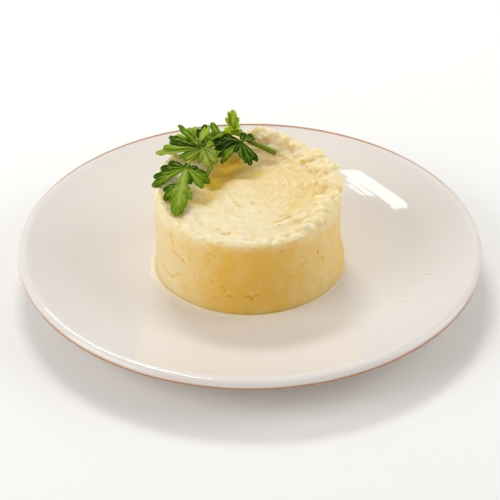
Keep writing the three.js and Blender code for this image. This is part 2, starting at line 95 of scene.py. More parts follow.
# %% Lights
DISH_MIDDLE = Vector((0, 0, 0.02))
BACK_AWAY, SIDE_AWAY = 1.3, 1.4


def turned_along(facing, along):
    """The turn that faces one way with its long side along another."""
    upright = (along - facing * along.dot(facing)).normalized()
    across = upright.cross(facing)
    return Matrix((across, upright, facing)).transposed().to_euler()


def add_panel(name, direction, distance, size, watts, mirrored=True, lights=True, along=None):
    """A rectangular lamp that shines on the dish from a direction."""
    lamp = bpy.data.lights.new(name, "AREA")
    lamp.shape = "RECTANGLE"
    lamp.size, lamp.size_y = size
    lamp.energy = watts
    holder = bpy.data.objects.new(name, lamp)
    bpy.context.scene.collection.objects.link(holder)
    holder.location = DISH_MIDDLE + Vector(direction).normalized() * distance
    holder.visible_glossy = mirrored
    holder.visible_diffuse = lights
    point_at(holder, DISH_MIDDLE)
    if along:
        facing = Vector(direction).normalized()
        holder.rotation_euler = turned_along(facing, Vector(along))


add_panel("soft_box", (-0.12, 0.64, 0.76), BACK_AWAY, (0.42, 0.26), 6.1, mirrored=False)
STRIPS = [
    ("wide_strip", (-0.125, 0.66, 0.74), (0.045, 0.22), 0.2, None),
    ("thin_strip", (-0.1, 0.663, 0.742), (0.01, 0.1), 0.03, None),
    ("thinner_strip", (-0.09, 0.675, 0.732), (0.006, 0.06), 0.012, None),
    ("lip_strip", (-0.25, 0.44, 0.85), (0.05, 0.8), 6.5, (-0.35, 0.454, -0.358)),
    ("band_strip", (-0.37, 0.42, 0.83), (0.08, 0.42), 0.22, (-0.14, 0.21, -0.17)),
]
for name, direction, size, watts, along in STRIPS:
    add_panel(name, direction, BACK_AWAY, size, watts, lights=False, along=along)
add_panel("left_panel", (-1, -0.35, 0.62), SIDE_AWAY, (0.9, 0.9), 7.7)
add_panel("right_panel", (1, 0.1, 0.6), SIDE_AWAY, (0.9, 0.9), 5.5)

world = bpy.data.worlds.new("studio")
world.use_nodes = True
background = world.node_tree.nodes["Background"]
background.inputs["Color"].default_value = (1, 0.99, 0.975, 1)
background.inputs["Strength"].default_value = 0.45
bpy.context.scene.world = world
print("lights:", sorted(lamp.name for lamp in bpy.data.lights))

# %% [markdown]
# ## Helpers for materials
#
# Colours are written as the hex values that a screen shows, and one function turns them into the
# linear values that shaders count with. Another adds a node with its settings and links, which
# is all that every material below needs.


# %% Material helpers
def colour(hex_value):
    """A linear colour from an sRGB hex value such as "EDE6DC"."""
    channels = [int(hex_value[i:i + 2], 16) / 255 for i in (0, 2, 4)]
    linear = [c / 12.92 if c <= 0.04045 else ((c + 0.055) / 1.055) ** 2.4 for c in channels]
    return (*linear, 1)


def add_node(material, kind, inputs=None, **settings):
    """Adds a node. An input is a plain value, an output socket, or a node, for its first output."""
    made = material.node_tree.nodes.new(kind)
    for name, value in settings.items():
        setattr(made, name, value)
    for name, value in (inputs or {}).items():
        if isinstance(value, bpy.types.Node):
            value = next(socket for socket in value.outputs if socket.enabled)
        if isinstance(value, bpy.types.NodeSocket):
            material.node_tree.links.new(value, made.inputs[name])
        else:
            made.inputs[name].default_value = value
    return made


MIX_FACTOR, MIX_A, MIX_B = 0, 6, 7  # sockets of a colour Mix node


def start_material(name):
    """An empty material, and the function that adds nodes to it."""
    material = bpy.data.materials.new(name)
    material.use_nodes = True
    material.node_tree.nodes.clear()
    return material, partial(add_node, material)


def finish_material(material, shader):
    """Links the shader to the surface."""
    add_node(material, "ShaderNodeOutputMaterial", {"Surface": shader})
    print("material", material.name, "has", len(material.node_tree.nodes), "nodes")

# %% [markdown]
# ## Helpers for meshes
#
# Every piece is shaped as a bmesh in millimetres. When it is done its doubles are merged, its
# faces are turned outwards, and it is scaled to metres and given its place in the dish: the body
# it rides on, the plain solid it stands for and the finish it takes.


# %% Mesh helpers
def close_up(shape):
    """Merges vertices that coincide and turns the faces outwards."""
    bmesh.ops.remove_doubles(shape, verts=shape.verts, dist=0.001)
    bmesh.ops.recalc_face_normals(shape, faces=shape.faces)


def to_object(name, shape):
    """Makes a bmesh an object, still in millimetres."""
    mesh = bpy.data.meshes.new(name)
    shape.to_mesh(mesh)
    shape.free()
    made = bpy.data.objects.new(name, mesh)
    bpy.context.scene.collection.objects.link(made)
    return made


def finish_piece(made, material, stands_for=None):
    """Scales a shaped object to metres and gives it its place in the dish."""
    made.data.transform(Matrix.Scale(MM, 4))
    made.data.shade_smooth()
    made.data.materials.clear()
    made.data.materials.append(material)
    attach(made, "root")
    if stands_for:
        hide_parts(stands_for)
    triangles = sum(len(face.vertices) - 2 for face in made.data.polygons)
    print(made.name, "has", triangles, "triangles")

# %% [markdown]
# ## Floor
#
# A plain pale floor that catches the plate's soft shadow. It runs well past the view.

# %% Floor
FLOOR_HALF = 3
floor_shape = bmesh.new()
bmesh.ops.create_grid(floor_shape, x_segments=2, y_segments=2, size=FLOOR_HALF)
floor = to_object("floor", floor_shape)
matt_white, add = start_material("matt_white_floor")
shader = add("ShaderNodeBsdfPrincipled", {"Base Color": colour("FAF9F7"), "Roughness": 0.9})
finish_material(matt_white, shader)
floor.data.materials.append(matt_white)

# %% [markdown]
# ## Plate
#
# The plate is a coupe: a well that rises without a step to a rounded lip, standing on a low foot
# ring. A potter throws it, so it is a profile turned about the upright axis. The profile needs
# only a few points, and its curves come from formulas: the slope is a power curve and the lip is
# part of an ellipse. The profile is then spun once round with bmesh's spin.

# %% Sizes of the plate
PLATE_RADIUS = 105
PLATE_HEIGHT = 19
WELL_TOP = 7
WELL_RADIUS = 30
SLOPE_RADIUS = 97
SLOPE_RISE = 10.5
SLOPE_POWER = 2.2
PLATE_WALL = 4.4
LIP_REACH = 3.4
LIP_RISE = 2.5
FOOT_INNER = 51.5
FOOT_OUTER = 55.5
FOOT_FLARE = 1.8
FOOT_RECESS = 2.5


# %% Curves of the plate
def lerp(a, b, share):
    return a + (b - a) * share


def spaced(start, end, steps):
    """Evenly spaced values from start to end."""
    return [lerp(start, end, i / steps) for i in range(steps + 1)]


def plate_top(radius):
    """Height of the plate's upper face at a distance from its centre."""
    climb = max(0, (radius - WELL_RADIUS) / (SLOPE_RADIUS - WELL_RADIUS))
    return WELL_TOP + SLOPE_RISE * climb ** SLOPE_POWER


def plate_profile():
    """The plate's section from the axis under the well, round the lip and back to the axis."""
    outline = [
        (0, FOOT_RECESS),
        (FOOT_INNER - FOOT_FLARE, FOOT_RECESS),
        (FOOT_INNER - 0.4, 0.4),
        (FOOT_INNER + 0.2, 0),
        (FOOT_OUTER - 0.2, 0),
        (FOOT_OUTER + 0.4, 0.4),
    ]
    for radius in spaced(FOOT_OUTER + FOOT_FLARE, SLOPE_RADIUS, 12):
        outline.append((radius, plate_top(radius) - PLATE_WALL))
    for turn in spaced(math.radians(-62), math.radians(112), 28):
        radius = PLATE_RADIUS - LIP_REACH + LIP_REACH * math.cos(turn)
        outline.append((radius, PLATE_HEIGHT - LIP_RISE + LIP_RISE * math.sin(turn)))
    for radius in spaced(SLOPE_RADIUS, WELL_RADIUS, 30):
        outline.append((radius, plate_top(radius)))
    return outline + [(15, WELL_TOP), (0, WELL_TOP)]


# %% Spin the plate
def turned(outline, steps):
    """A bmesh of a profile of radius and height spun once round the upright axis."""
    shape = bmesh.new()
    corners = [shape.verts.new((radius, 0, height)) for radius, height in outline]
    edges = [shape.edges.new(pair) for pair in zip(corners, corners[1:])]
    bmesh.ops.spin(
        shape, geom=corners + edges, cent=(0, 0, 0), axis=(0, 0, 1),
        angle=2 * math.pi, steps=steps, use_merge=True,
    )
    close_up(shape)
    return shape


plate_shape = turned(plate_profile(), steps=216)
print("plate:", len(plate_shape.verts), "vertices")

# %% [markdown]
# A warm brown line along the outer edge of the lip is painted into the glaze colour. It is a
# painted reflection of a brown wooden table with the shade beneath the lip, so the line lies low on
# the edge at the front, creeps over the top of the lip at the back, and is faint at the two sides.
# A vertex value says how strongly it shows. It comes from how far round the lip's own section the
# point is, where 0 degrees is the outermost point and 90 the top.

# %% Painted brown reflection on the lip
RIM_LINE_SOFT = 12
LINE_FRONT, LINE_SIDE, LINE_BACK = 2, 32, 100


def smoothstep(value, low, high):
    """A smooth step from 0 to 1, for one value or an array of them."""
    share = np.clip((value - low) / (high - low), 0, 1)
    return share * share * (3 - 2 * share)


def painted_rim_reflection(x, y, z):
    """How strongly the painted brown reflection shows at a point, from 0 to 1."""
    radius = math.hypot(x, y)
    outward = (radius - PLATE_RADIUS + LIP_REACH) / LIP_REACH
    upward = (z - PLATE_HEIGHT + LIP_RISE) / LIP_RISE
    turn = math.degrees(math.atan2(upward, outward))
    to_back, to_right = y / max(radius, 1), x / max(radius, 1)
    far_end = LINE_BACK if to_back > 0 else LINE_FRONT
    line = lerp(LINE_SIDE, far_end, abs(to_back)) + 5 * noise.noise(Vector((x, y, z)) / 14)
    low = -80 + 90 * max(0, to_back)
    reflected = (1 - smoothstep(turn, line - RIM_LINE_SOFT, line + RIM_LINE_SOFT)) * smoothstep(turn, low, low + 30)
    faint = lerp(0.25, 0.45, smoothstep(to_right, -0.5, 0.5))
    return reflected * lerp(faint, 1, smoothstep(abs(to_back), 0.08, 0.6))


rim_reflection_layer = plate_shape.verts.layers.float.new("painted_rim_reflection")
for vertex in plate_shape.verts:
    vertex[rim_reflection_layer] = painted_rim_reflection(*vertex.co)

# %% [markdown]
# The plate is stoneware under a clear-white glaze. The glaze is glass: IOR 1.5 and almost no
# roughness, so it mirrors the strips sharply. It pools and thins over some 40 mm, which the
# eye reads as soft clouds in the cream, and its surface has the shallow ripple of a poured
# glaze, some 12 mm across. Fine wear from cutlery breaks the gloss a little.

# %% Glazed stoneware
glaze, add = start_material("glazed_stoneware")
place = add("ShaderNodeTexCoord").outputs["Object"]
clouds = add("ShaderNodeTexNoise", {"Vector": place, "Scale": 1 / 0.04, "Detail": 2.0})
cream = add("ShaderNodeMix", {
    MIX_FACTOR: clouds,
    MIX_A: colour("E9E1D9"),
    MIX_B: colour("EFEAE5"),
}, data_type="RGBA")
# Painted reflection: the brown line of the lip is mixed over the cream.
cream_with_painted_rim = add("ShaderNodeMix", {
    MIX_FACTOR: add("ShaderNodeAttribute", attribute_name="painted_rim_reflection").outputs["Fac"],
    MIX_A: cream,
    MIX_B: colour("BA8250"),
}, data_type="RGBA")
wear = add("ShaderNodeTexNoise", {"Vector": place, "Scale": 1 / 0.006, "Detail": 4.0})
gloss = add("ShaderNodeMapRange", {
    "Value": wear,
    "From Min": 0.35,
    "From Max": 0.7,
    "To Min": 0.02,
    "To Max": 0.06,
})
ripple = add("ShaderNodeTexNoise", {"Vector": place, "Scale": 1 / 0.012, "Detail": 1.0})
shader = add("ShaderNodeBsdfPrincipled", {
    "Base Color": cream_with_painted_rim,
    "Roughness": gloss,
    "IOR": 1.5,
    "Normal": add("ShaderNodeBump", {"Strength": 0.1, "Distance": 0.0004, "Height": ripple}),
})
finish_material(glaze, shader)
finish_piece(to_object("stoneware_plate", plate_shape), glaze, "plate")

# %% [markdown]
# ## Mash: the drum
#
# The mash was pressed into a ring mould, levelled with the back of a spoon and lifted free. Its
# wall is smooth, its top is creamy with shallow spoon marks, and its back rim is a rough heap of
# riced crumbs. It is made in three moves, as clay would be: a turned drum is pushed to its main
# form, crumbs are stuck on, and a voxel remesh melts everything to one skin that can take fine
# marks.

# %% Sizes of the mash
MASH_X = -1
MASH_Y = -0.5
MASH_RADIUS = 41.7
MASH_TOP = 46.2
MASH_EDGE = 1.6
GAP = 0.3
MASH_FOOT = WELL_TOP + GAP
SUNK = 0.5
RIM_FRONT, RIM_BACK = -1.9, 4.2

# Lumps and gaps of the rim: azimuth, distance from the drum's axis, rise and half-width.
RIM_LUMPS = [
    (-34, 40, 1.2, 4),
    (9, 40, 2.3, 5),
    (27, 39, 1.2, 5),
    (45, 40, -2.4, 4),
    (77, 38, 3.1, 8),
    (136, 40, -4.2, 7),
    (167, 40, 0.8, 5),
]

# Troughs that the spoon left: start, end, depth and half-width.
DENTS = [
    ((-16, 8), (-8, 25), 3.6, 6.5),
    ((-21, -8), (-18, -4), 2, 5),
    ((-4, 13), (3, 14), 1.3, 4.5),
    ((20, -14), (27, -2), 0.7, 4),
]


# %% Curves of the drum
def bell(distance, width):
    return np.exp(-((distance / width) ** 2))


def degrees_apart(a, b):
    return abs((a - b + 180) % 360 - 180)


def near_line(u, v, start, end):
    """Distance in a plane from one point, or from many, to a straight stretch."""
    along = (end[0] - start[0], end[1] - start[1])
    share = ((u - start[0]) * along[0] + (v - start[1]) * along[1]) / (along[0] ** 2 + along[1] ** 2)
    share = np.clip(share, 0, 1)
    return np.hypot(u - start[0] - share * along[0], v - start[1] - share * along[1])


def from_middle(azimuth, away):
    """The point of the plan at an azimuth and a distance from the drum's axis."""
    turn = math.radians(azimuth)
    return MASH_X + away * math.cos(turn), MASH_Y + away * math.sin(turn)


def azimuth_of(x, y):
    return math.degrees(math.atan2(y - MASH_Y, x - MASH_X))


def from_axis(x, y):
    return math.hypot(x - MASH_X, y - MASH_Y)


def mash_top(x, y):
    """Height of the drum's top at a point of the plan."""
    radius = from_axis(x, y)
    to_back = smoothstep(degrees_apart(azimuth_of(x, y), -92), 24, 104)
    height = MASH_TOP + lerp(RIM_FRONT, RIM_BACK, to_back) * smoothstep(radius, 25, MASH_RADIUS)
    for azimuth, away, rise, width in RIM_LUMPS:
        lump_x, lump_y = from_middle(azimuth, away)
        height += rise * bell(math.hypot(x - lump_x, y - lump_y), width)
    for start, end, depth, width in DENTS:
        height -= depth * bell(near_line(x, y, start, end), width)
    return height


def flare_at(azimuth, height):
    """How far the wall bulges out, most at the right of its foot, and settles at the left."""
    bulge = 2.3 * bell(degrees_apart(azimuth, -6), 36) * bell(height - 4, 7)
    settled = lerp(0.3, 1.1, bell(degrees_apart(azimuth, -165), 40)) * bell(height, 1.8)
    return bulge + settled


def drum_profile():
    """The drum's section from the axis at its foot, up the wall and back to the axis."""
    outline = [(radius, MASH_FOOT) for radius in (0, 8, 16, 23.5, 31, 35, 38)]
    shoulder = MASH_TOP - MASH_EDGE
    outline += [(MASH_RADIUS, height) for height in spaced(MASH_FOOT, shoulder, 20)]
    for turn in spaced(0, math.pi / 2, 4)[1:]:
        radius = MASH_RADIUS - MASH_EDGE * (1 - math.cos(turn))
        outline.append((radius, shoulder + MASH_EDGE * math.sin(turn)))
    return outline + [(radius, MASH_TOP) for radius in spaced(MASH_RADIUS - MASH_EDGE, 0, 30)[1:]]

# %% Spin the drum and push it to its form
mash_shape = turned(drum_profile(), steps=180)
for vertex in mash_shape.verts:
    x, y, z = vertex.co
    radius = math.hypot(x, y)
    above = z - MASH_FOOT
    if radius > 0:
        azimuth = math.degrees(math.atan2(y, x))
        stretch = 1 + radius / MASH_RADIUS * flare_at(azimuth, above) / radius
        x, y = x * stretch, y * stretch
    x, y = x + MASH_X, y + MASH_Y
    bottom = plate_top(math.hypot(x, y)) - SUNK
    vertex.co = (x, y, lerp(bottom, mash_top(x, y), above / (MASH_TOP - MASH_FOOT)))
print("drum:", len(mash_shape.verts), "vertices")

# %% [markdown]
# The crumbs of the rim are what a potato ricer leaves: short soft strands of 2 to 9 mm, heaped
# along the right-hand and back edge. Each is a low icosphere, stretched and turned at random. The
# large ones stand where the plain solid has them, drawn by the same rule with the same seed, and
# smaller ones fill the gaps.

# %% Riced crumbs
STEM_ROUTE = [
    (11.8, 25.1, 49.4), (5.5, 26.5, 52), (0, 27.2, 54.5), (-3.2, 29.6, 56),
    (-8.2, 30.6, 57), (-14.6, 29.7, 57), (-19.5, 26.1, 56), (-21.7, 20.3, 55),
]
CRUMB_START, CRUMB_END = -42, 112
CRUMB_INNER = 30
LARGE_CRUMBS, SMALL_CRUMBS = 46, 190
SPRIG_CLEAR = 2


def even_random(seed):
    """The plain solid's own stream of random numbers."""
    state = seed
    while True:
        state = (state * 1664525 + 1013904223) % 4294967296
        yield state / 4294967296


def from_sprig(x, y):
    """Distance in plan to the parsley's stem."""
    pairs = zip(STEM_ROUTE, STEM_ROUTE[1:])
    return min(near_line(x, y, start[:2], end[:2]) for start, end in pairs)


crumb_mesh = bpy.data.meshes.new("one_crumb")


def add_crumb(shape, place, size, stretch, turn, tilt):
    """Sticks one soft crumb on at a place."""
    matrix = (
        Matrix.Translation(place)
        @ Matrix.Rotation(tilt, 4, "X")
        @ Matrix.Rotation(turn, 4, "Z")
        @ Matrix.Diagonal((*stretch, 1))
    )
    crumb = bmesh.new()
    bmesh.ops.create_icosphere(crumb, subdivisions=2, radius=size, matrix=matrix)
    crumb.to_mesh(crumb_mesh)
    crumb.free()
    shape.from_mesh(crumb_mesh)


draw = even_random(20)
for i in range(LARGE_CRUMBS):
    azimuth = lerp(CRUMB_START, CRUMB_END, (i + next(draw)) / LARGE_CRUMBS)
    outward = math.sqrt(next(draw))
    size = lerp(1.3, 3.4, next(draw) * outward)
    x, y = from_middle(azimuth, lerp(CRUMB_INNER, MASH_RADIUS - size * 0.6, outward))
    stretch = (lerp(0.8, 1.3, next(draw)), lerp(0.8, 1.3, next(draw)), lerp(0.6, 1, next(draw)))
    turn = next(draw) * math.pi
    tilt = next(draw) - 0.5
    z = mash_top(x, y) + size * lerp(-0.3, 0.25, next(draw))
    if from_sprig(x, y) > size * 1.3 + SPRIG_CLEAR:
        add_crumb(mash_shape, (x, y, z), size, stretch, turn, tilt)

rice = random.Random(7)
for i in range(SMALL_CRUMBS):
    azimuth = rice.uniform(CRUMB_START - 6, CRUMB_END + 40)
    outward = math.sqrt(rice.random())
    size = rice.uniform(0.9, 2.5)
    x, y = from_middle(azimuth, lerp(CRUMB_INNER + 2, MASH_RADIUS - size * 0.7, outward))
    stretch = (rice.uniform(1.1, 1.9), rice.uniform(0.7, 1), rice.uniform(0.5, 0.8))
    place = (x, y, mash_top(x, y) + rice.uniform(-0.4, 0.6) * size)
    turn = math.radians(azimuth) + rice.uniform(-1.2, 1.2)
    if from_sprig(x, y) > size * 1.3 + SPRIG_CLEAR:
        add_crumb(mash_shape, place, size, stretch, turn, rice.uniform(-0.6, 0.6))
print("drum with crumbs:", len(mash_shape.verts), "vertices")

# %% [markdown]
# The voxel remesh gives one closed skin of even faces, about half a millimetre wide, in which the
# crumbs have grown together with the drum. A few rounds of smoothing take its steps away.

# %% Melt the drum and the crumbs together
SKIN_VOXEL = 0.55


def baked(made):
    """The object's mesh with its modifiers worked out."""
    graph = bpy.context.evaluated_depsgraph_get()
    result = bpy.data.meshes.new_from_object(made.evaluated_get(graph))
    made.modifiers.clear()
    made.data = result
    return made


mash = to_object("mashed_potato", mash_shape)
melt = mash.modifiers.new("melt", "REMESH")
melt.mode = "VOXEL"
melt.voxel_size = SKIN_VOXEL
soften = mash.modifiers.new("soften", "SMOOTH")
soften.factor = 0.5
soften.iterations = 4
baked(mash)
print("skin:", len(mash.data.vertices), "vertices")

# %% [markdown]
# ## Mash: marks in its skin
#
# Fine marks are moves of the skin's own vertices. The wall carries the shallow pits and cracks
# that air leaves against a mould, each a line between points given as azimuth and height. The
# top has the drag marks of a spoon, which run round it, one sharp crease, and a ruffled edge.
# The clearest marks have their own places, and pinpricks between them are strewn at random.

# %% Marks of the wall and the top
# Each mark of the wall: depth, half-width, and the points it runs through.
WALL_MARKS = [
    (0.9, 0.55, [(-155, 17.7), (-149.5, 16.9), (-143.6, 16.7)]),
    (1.1, 0.6, [(-143.6, 16.7), (-141.5, 18.1), (-137.5, 20.2)]),
    (0.6, 0.5, [(-144.5, 39.3), (-141.6, 36.3), (-141.8, 32.5)]),
    (0.9, 0.55, [(-142.9, 31), (-135.3, 30.1), (-131.9, 28.6)]),
    (0.6, 0.5, [(-148, 39), (-146.4, 38.4)]),
    (0.7, 0.6, [(-143.5, 39.2), (-142.6, 38.2)]),
    (0.5, 0.5, [(-135, 38.2), (-132.6, 36.6)]),
    (0.5, 0.45, [(-129.1, 41.2), (-130.6, 39.6)]),
    (0.5, 0.5, [(-128.6, 31.8), (-126.4, 32)]),
    (0.5, 0.5, [(-122.6, 31.5), (-121, 30.2)]),
    (0.55, 0.5, [(-114.2, 38.7), (-114.6, 36.9)]),
    (0.35, 0.5, [(-109.8, 37.5), (-108.8, 37)]),
    (0.5, 0.6, [(-111.9, 24.4), (-112.4, 21.6)]),
    (1.1, 0.7, [(-101.8, 17.8), (-99.4, 16.2)]),
    (0.7, 0.5, [(-104.9, 21.6), (-103.6, 20)]),
    (1.1, 0.8, [(-89.6, 17.6), (-87.4, 16.4), (-84, 18.2)]),
    (0.6, 0.5, [(-70.6, 41.6), (-68.6, 39.4)]),
    (0.3, 0.45, [(-62, 40), (-61.4, 39.6)]),
    (1.3, 0.6, [(-43.4, 32.6), (-41.8, 31.2)]),
    (0.8, 0.7, [(-39.4, 28.6), (-37.6, 26.2)]),
    (0.5, 0.6, [(-39.9, 17.4), (-40, 14.6)]),
    (0.4, 0.8, [(-55.4, 30), (-53.2, 31)]),
    (0.35, 0.9, [(-63.4, 24.8), (-60.8, 25.2)]),
    (0.7, 0.9, [(-35.3, 47), (-35, 42.3)]),
    (0.4, 0.6, [(-33, 40), (-31, 33.8)]),
    (0.35, 0.6, [(-119.9, 28), (-118.9, 27.6)]),
    (-0.25, 0.5, [(-45.4, 44), (-44.8, 23.2), (-41.6, 11.2)]),
]

# Marks of the top, the same way, with points in the plan.
TOP_MARKS = [
    (0.9, 0.55, [(-9.3, -3.1), (-7.1, -8.8), (-4.4, -14.5)]),
    (0.8, 1.1, [(-15.6, -29.5), (-12.1, -32.6), (-9.5, -34)]),
    (-0.6, 0.8, [(-12.1, -35.7), (-4.3, -35.5)]),
    (0.9, 1.5, [(11.3, -26.4), (14.4, -23.2), (17.5, -20.6)]),
    (-0.7, 1.6, [(10.4, -29.2), (15.6, -26.6), (19.6, -22.4)]),
    (1.2, 1, [(29.4, -3.4), (32.6, -5.2)]),
    (0.5, 0.7, [(0.9, 12.7), (5.4, 16.1)]),
    (0.4, 0.7, [(0, -11.2), (8.8, -12.9)]),
    (-1.1, 2, [(27.6, 3.2), (32.2, 5.6), (38, 6.4)]),
]

WALL_PRICKS, TOP_PRICKS = 60, 40
pin = random.Random(5)
for i in range(WALL_PRICKS):
    azimuth, height = pin.uniform(-178, -6), pin.uniform(11, 41)
    end = (azimuth + pin.uniform(-1, 1), height + pin.uniform(-0.8, 0.8))
    WALL_MARKS.append((pin.uniform(0.1, 0.5), pin.uniform(0.35, 0.5), [(azimuth, height), end]))
for i in range(TOP_PRICKS):
    spot = Vector((pin.uniform(-34, 34), pin.uniform(-34, 30)))
    if spot.length < 35:
        end = spot + Vector((pin.uniform(1, 3), pin.uniform(-1, 1)))
        TOP_MARKS.append((pin.uniform(0.15, 0.4), pin.uniform(0.4, 0.7), [tuple(spot), tuple(end)]))

# %% [markdown]
# The skin has some ninety thousand vertices, so the marks are worked out for all of them at once,
# with numpy. A mark is a bell across its line. The lines wander and break up as torn mash does,
# and noise of several sizes makes the sway of the wall, the curd of the top and the clumps of its
# riced rim.

# %% Marks and noise at many points
MARK_WIDTH = 0.85


def unrolled(marks):
    """The wall's marks with azimuth as a length round the wall."""
    per_degree = math.radians(MASH_RADIUS)
    return [(d, w, [(a * per_degree, z) for a, z in route]) for d, w, route in marks]


def marks_at(u, v, marks):
    """How deep the marks go at many points of a plane."""
    total = np.zeros(len(u))
    for depth, width, route in marks:
        near = np.min([near_line(u, v, *pair) for pair in zip(route, route[1:])], axis=0)
        total += depth * bell(near, MARK_WIDTH * width)
    return total


def noise_at(points, size, shift=0):
    """Smooth noise with lumps of a size, about -1 to 1, one value for each point."""
    return np.array([noise.noise(point) for point in (points / size + shift).tolist()])


def lumps(points, *layers):
    """A sum of noises, each given as its height and the size of its lumps."""
    return sum(height * noise_at(points, size) for height, size in layers)


def ragged_marks(u, v, points, marks):
    """Marks whose lines wander and break up as torn mash does."""
    wander = (noise_at(points, 2.4, 50) * 0.8, noise_at(points, 2.4, 90) * 0.8)
    patches = np.clip(0.8 + 1.2 * noise_at(points, 1.5, 20), 0.15, 1.5)
    return marks_at(u + wander[0], v + wander[1], marks) * patches


# %% Moves of the wall and the top
def wall_move(azimuth, points):
    """How far the wall moves out at many points, and how much butter colour and painted shade it takes
    there.
    """
    around, height = azimuth * math.radians(MASH_RADIUS), points[:, 2]
    lines = unrolled(WALL_MARKS)
    depth = ragged_marks(around, height, points, lines)
    lips = ragged_marks(around, height - 0.9, points, lines)
    sway = lumps(points, (0.3, 16), (0.16, 5), (0.1, 1.6))
    return sway - 0.65 * depth + 0.1 * lips, np.maximum(0, depth) * 2.8 - 0.35 * lips


def rough_share(azimuth, radius):
    """How riced the top is at many points, from 0, creamy, to 1."""
    middle = (CRUMB_START + CRUMB_END) / 2 + 12
    half = (CRUMB_END - CRUMB_START) / 2 + 18
    return (1 - smoothstep(degrees_apart(azimuth, middle), half - 14, half)) * smoothstep(radius, 29, 34)


def top_move(azimuth, radius, points):
    """How far the top rises at many points, and how much butter colour and painted shade it takes there.
    """
    x, y = points[:, 0], points[:, 1]
    rough = rough_share(azimuth, radius)
    creamy = 1 - rough
    turn = np.radians(azimuth)
    swirl = np.column_stack((radius / 3, 2 * np.cos(turn), 2 * np.sin(turn)))
    fine_swirl = np.column_stack((radius / 0.9, 3 * np.cos(turn), 3 * np.sin(turn)))
    drag = 0.3 * noise_at(swirl, 1) * smoothstep(radius, 3, 14) + 0.35 * noise_at(points, 9)
    fine_drag = 0.26 * noise_at(fine_swirl, 1) * smoothstep(radius, 8, 20)
    curd = lumps(points, (0.24, 2.6), (0.12, 1.2))
    clumps = lumps(points, (1.1, 4.5), (0.38, 2), (0.26, 1.1))
    ruffle = smoothstep(radius, 35, 39.5) * creamy * (0.3 + lumps(points, (0.6, 2.6), (0.35, 1.1)))
    depth = ragged_marks(x, y, points, TOP_MARKS)
    rise = creamy * (drag + fine_drag + curd) + rough * clumps + ruffle - depth
    fine = creamy * (fine_drag + curd)
    butter_and_painted_shade = 0.6 * np.maximum(0, depth) - 2.2 * fine - 0.2 * rough * clumps - 0.55 * ruffle
    return rise, butter_and_painted_shade


def skin_arrays(mesh):
    """The places and the normals of a mesh's vertices, read once before any of them moves."""
    places = np.zeros(len(mesh.vertices) * 3)
    mesh.vertices.foreach_get("co", places)
    normals = np.zeros(len(mesh.vertices) * 3)
    mesh.vertex_normals.foreach_get("vector", normals)
    return places.reshape(-1, 3), normals.reshape(-1, 3)

# %% [markdown]
# The wall's vertices move outwards and the top's upwards. Each vertex also keeps two values. One
# is how much golden colour it takes: butter in its hollows, and painted shade in the dents and under
# the leaves; crests take less. The other is how aired the mash is, which makes it pale: the top and
# the upper edge of the wall are, the wall's flanks are paler as painted light, and the top is
# painted darker towards its right and back.

# %% Move the skin
# Painted shade under the leaves: golden spots where the leaves shadow the mash.
PAINTED_LEAF_SHADOWS = [
    ((-30, -8), (-32, -20)),
    ((-32, -8), (-38, -12)),
    ((-27, -7), (-25, -11)),
    ((-26, -2), (-20, -2)),
    ((-22, 13), (-17, 11)),
    ((-10, 27), (-3, 15)),
]

places, normals = skin_arrays(mash.data)
off_axis = places[:, :2] - (MASH_X, MASH_Y)
radii = np.hypot(off_axis[:, 0], off_axis[:, 1])
azimuths = np.degrees(np.arctan2(off_axis[:, 1], off_axis[:, 0]))
top_share = smoothstep(normals[:, 2], 0.25, 0.6) * smoothstep(places[:, 2], 38, 42)
wall_share = smoothstep(radii, 38.5, 40.5) * (1 - top_share) * smoothstep(places[:, 2], 8.2, 10)
out, wall_butter_and_shade = wall_move(azimuths, places)
rise, top_butter_and_shade = top_move(azimuths, radii, places)
places[:, :2] += off_axis / np.maximum(radii, 1)[:, None] * (out * wall_share)[:, None]
places[:, 2] += rise * top_share
# Painted shade: golden colour in the dents and under the leaves.
dent_and_leaf_shade = np.zeros(len(places))
for start, end, depth, width in DENTS:
    near = near_line(places[:, 0], places[:, 1], start, end)
    dent_and_leaf_shade += 0.8 * depth * bell(near, width)
for start, end in PAINTED_LEAF_SHADOWS:
    near = near_line(places[:, 0], places[:, 1], start, end)
    dent_and_leaf_shade = np.maximum(dent_and_leaf_shade, 1.3 * bell(near, 3.6))
butter_and_shade_amounts = wall_butter_and_shade * wall_share + (top_butter_and_shade + dent_and_leaf_shade) * top_share
mash.data.vertices.foreach_set("co", places.ravel())
mash.data.update()

# %% Aired mash and painted light
rough = rough_share(azimuths, radii)
clockwise = -azimuths % 360
# Painted light: the wall's left and right flanks are paler where the side panels light them.
painted_light_left = smoothstep(clockwise, 98, 148) * (0.68 - 0.4 * smoothstep(clockwise, 185, 245))
painted_light_left *= 1 - smoothstep(clockwise, 280, 350)
painted_light_right = 0.42 * bell(azimuths + 36, 26)
near_top = smoothstep(places[:, 2], 37.5, 44.5) * (0.42 + 0.5 * noise_at(places, 3.5, 30))
patches = 0.2 * noise_at(places * (1, 1, 0.5), 5, 70) + 0.14 * noise_at(places, 1.8, 10)
wall_air_and_light = np.clip(painted_light_left + painted_light_right + near_top + patches, 0, 1)
# Painted shade: the top darkens towards its right and back, less on the riced rim, and the rim is a
# little paler.
top_air_and_shade = 1 - 0.4 * smoothstep(off_axis[:, 0] + off_axis[:, 1], -30, 30) * (1 - 0.6 * rough)
top_air_and_shade += 0.1 * rough
aired_and_painted_light = top_share * top_air_and_shade + (1 - top_share) * wall_air_and_light

for name, values in (("butter_and_painted_shade", butter_and_shade_amounts), ("aired_and_painted_light", aired_and_painted_light)):
    layer = mash.data.attributes.new(name, "FLOAT", "POINT")
    layer.data.foreach_set("value", values)
print("deepest mark:", round(max(butter_and_shade_amounts), 2), "mm")
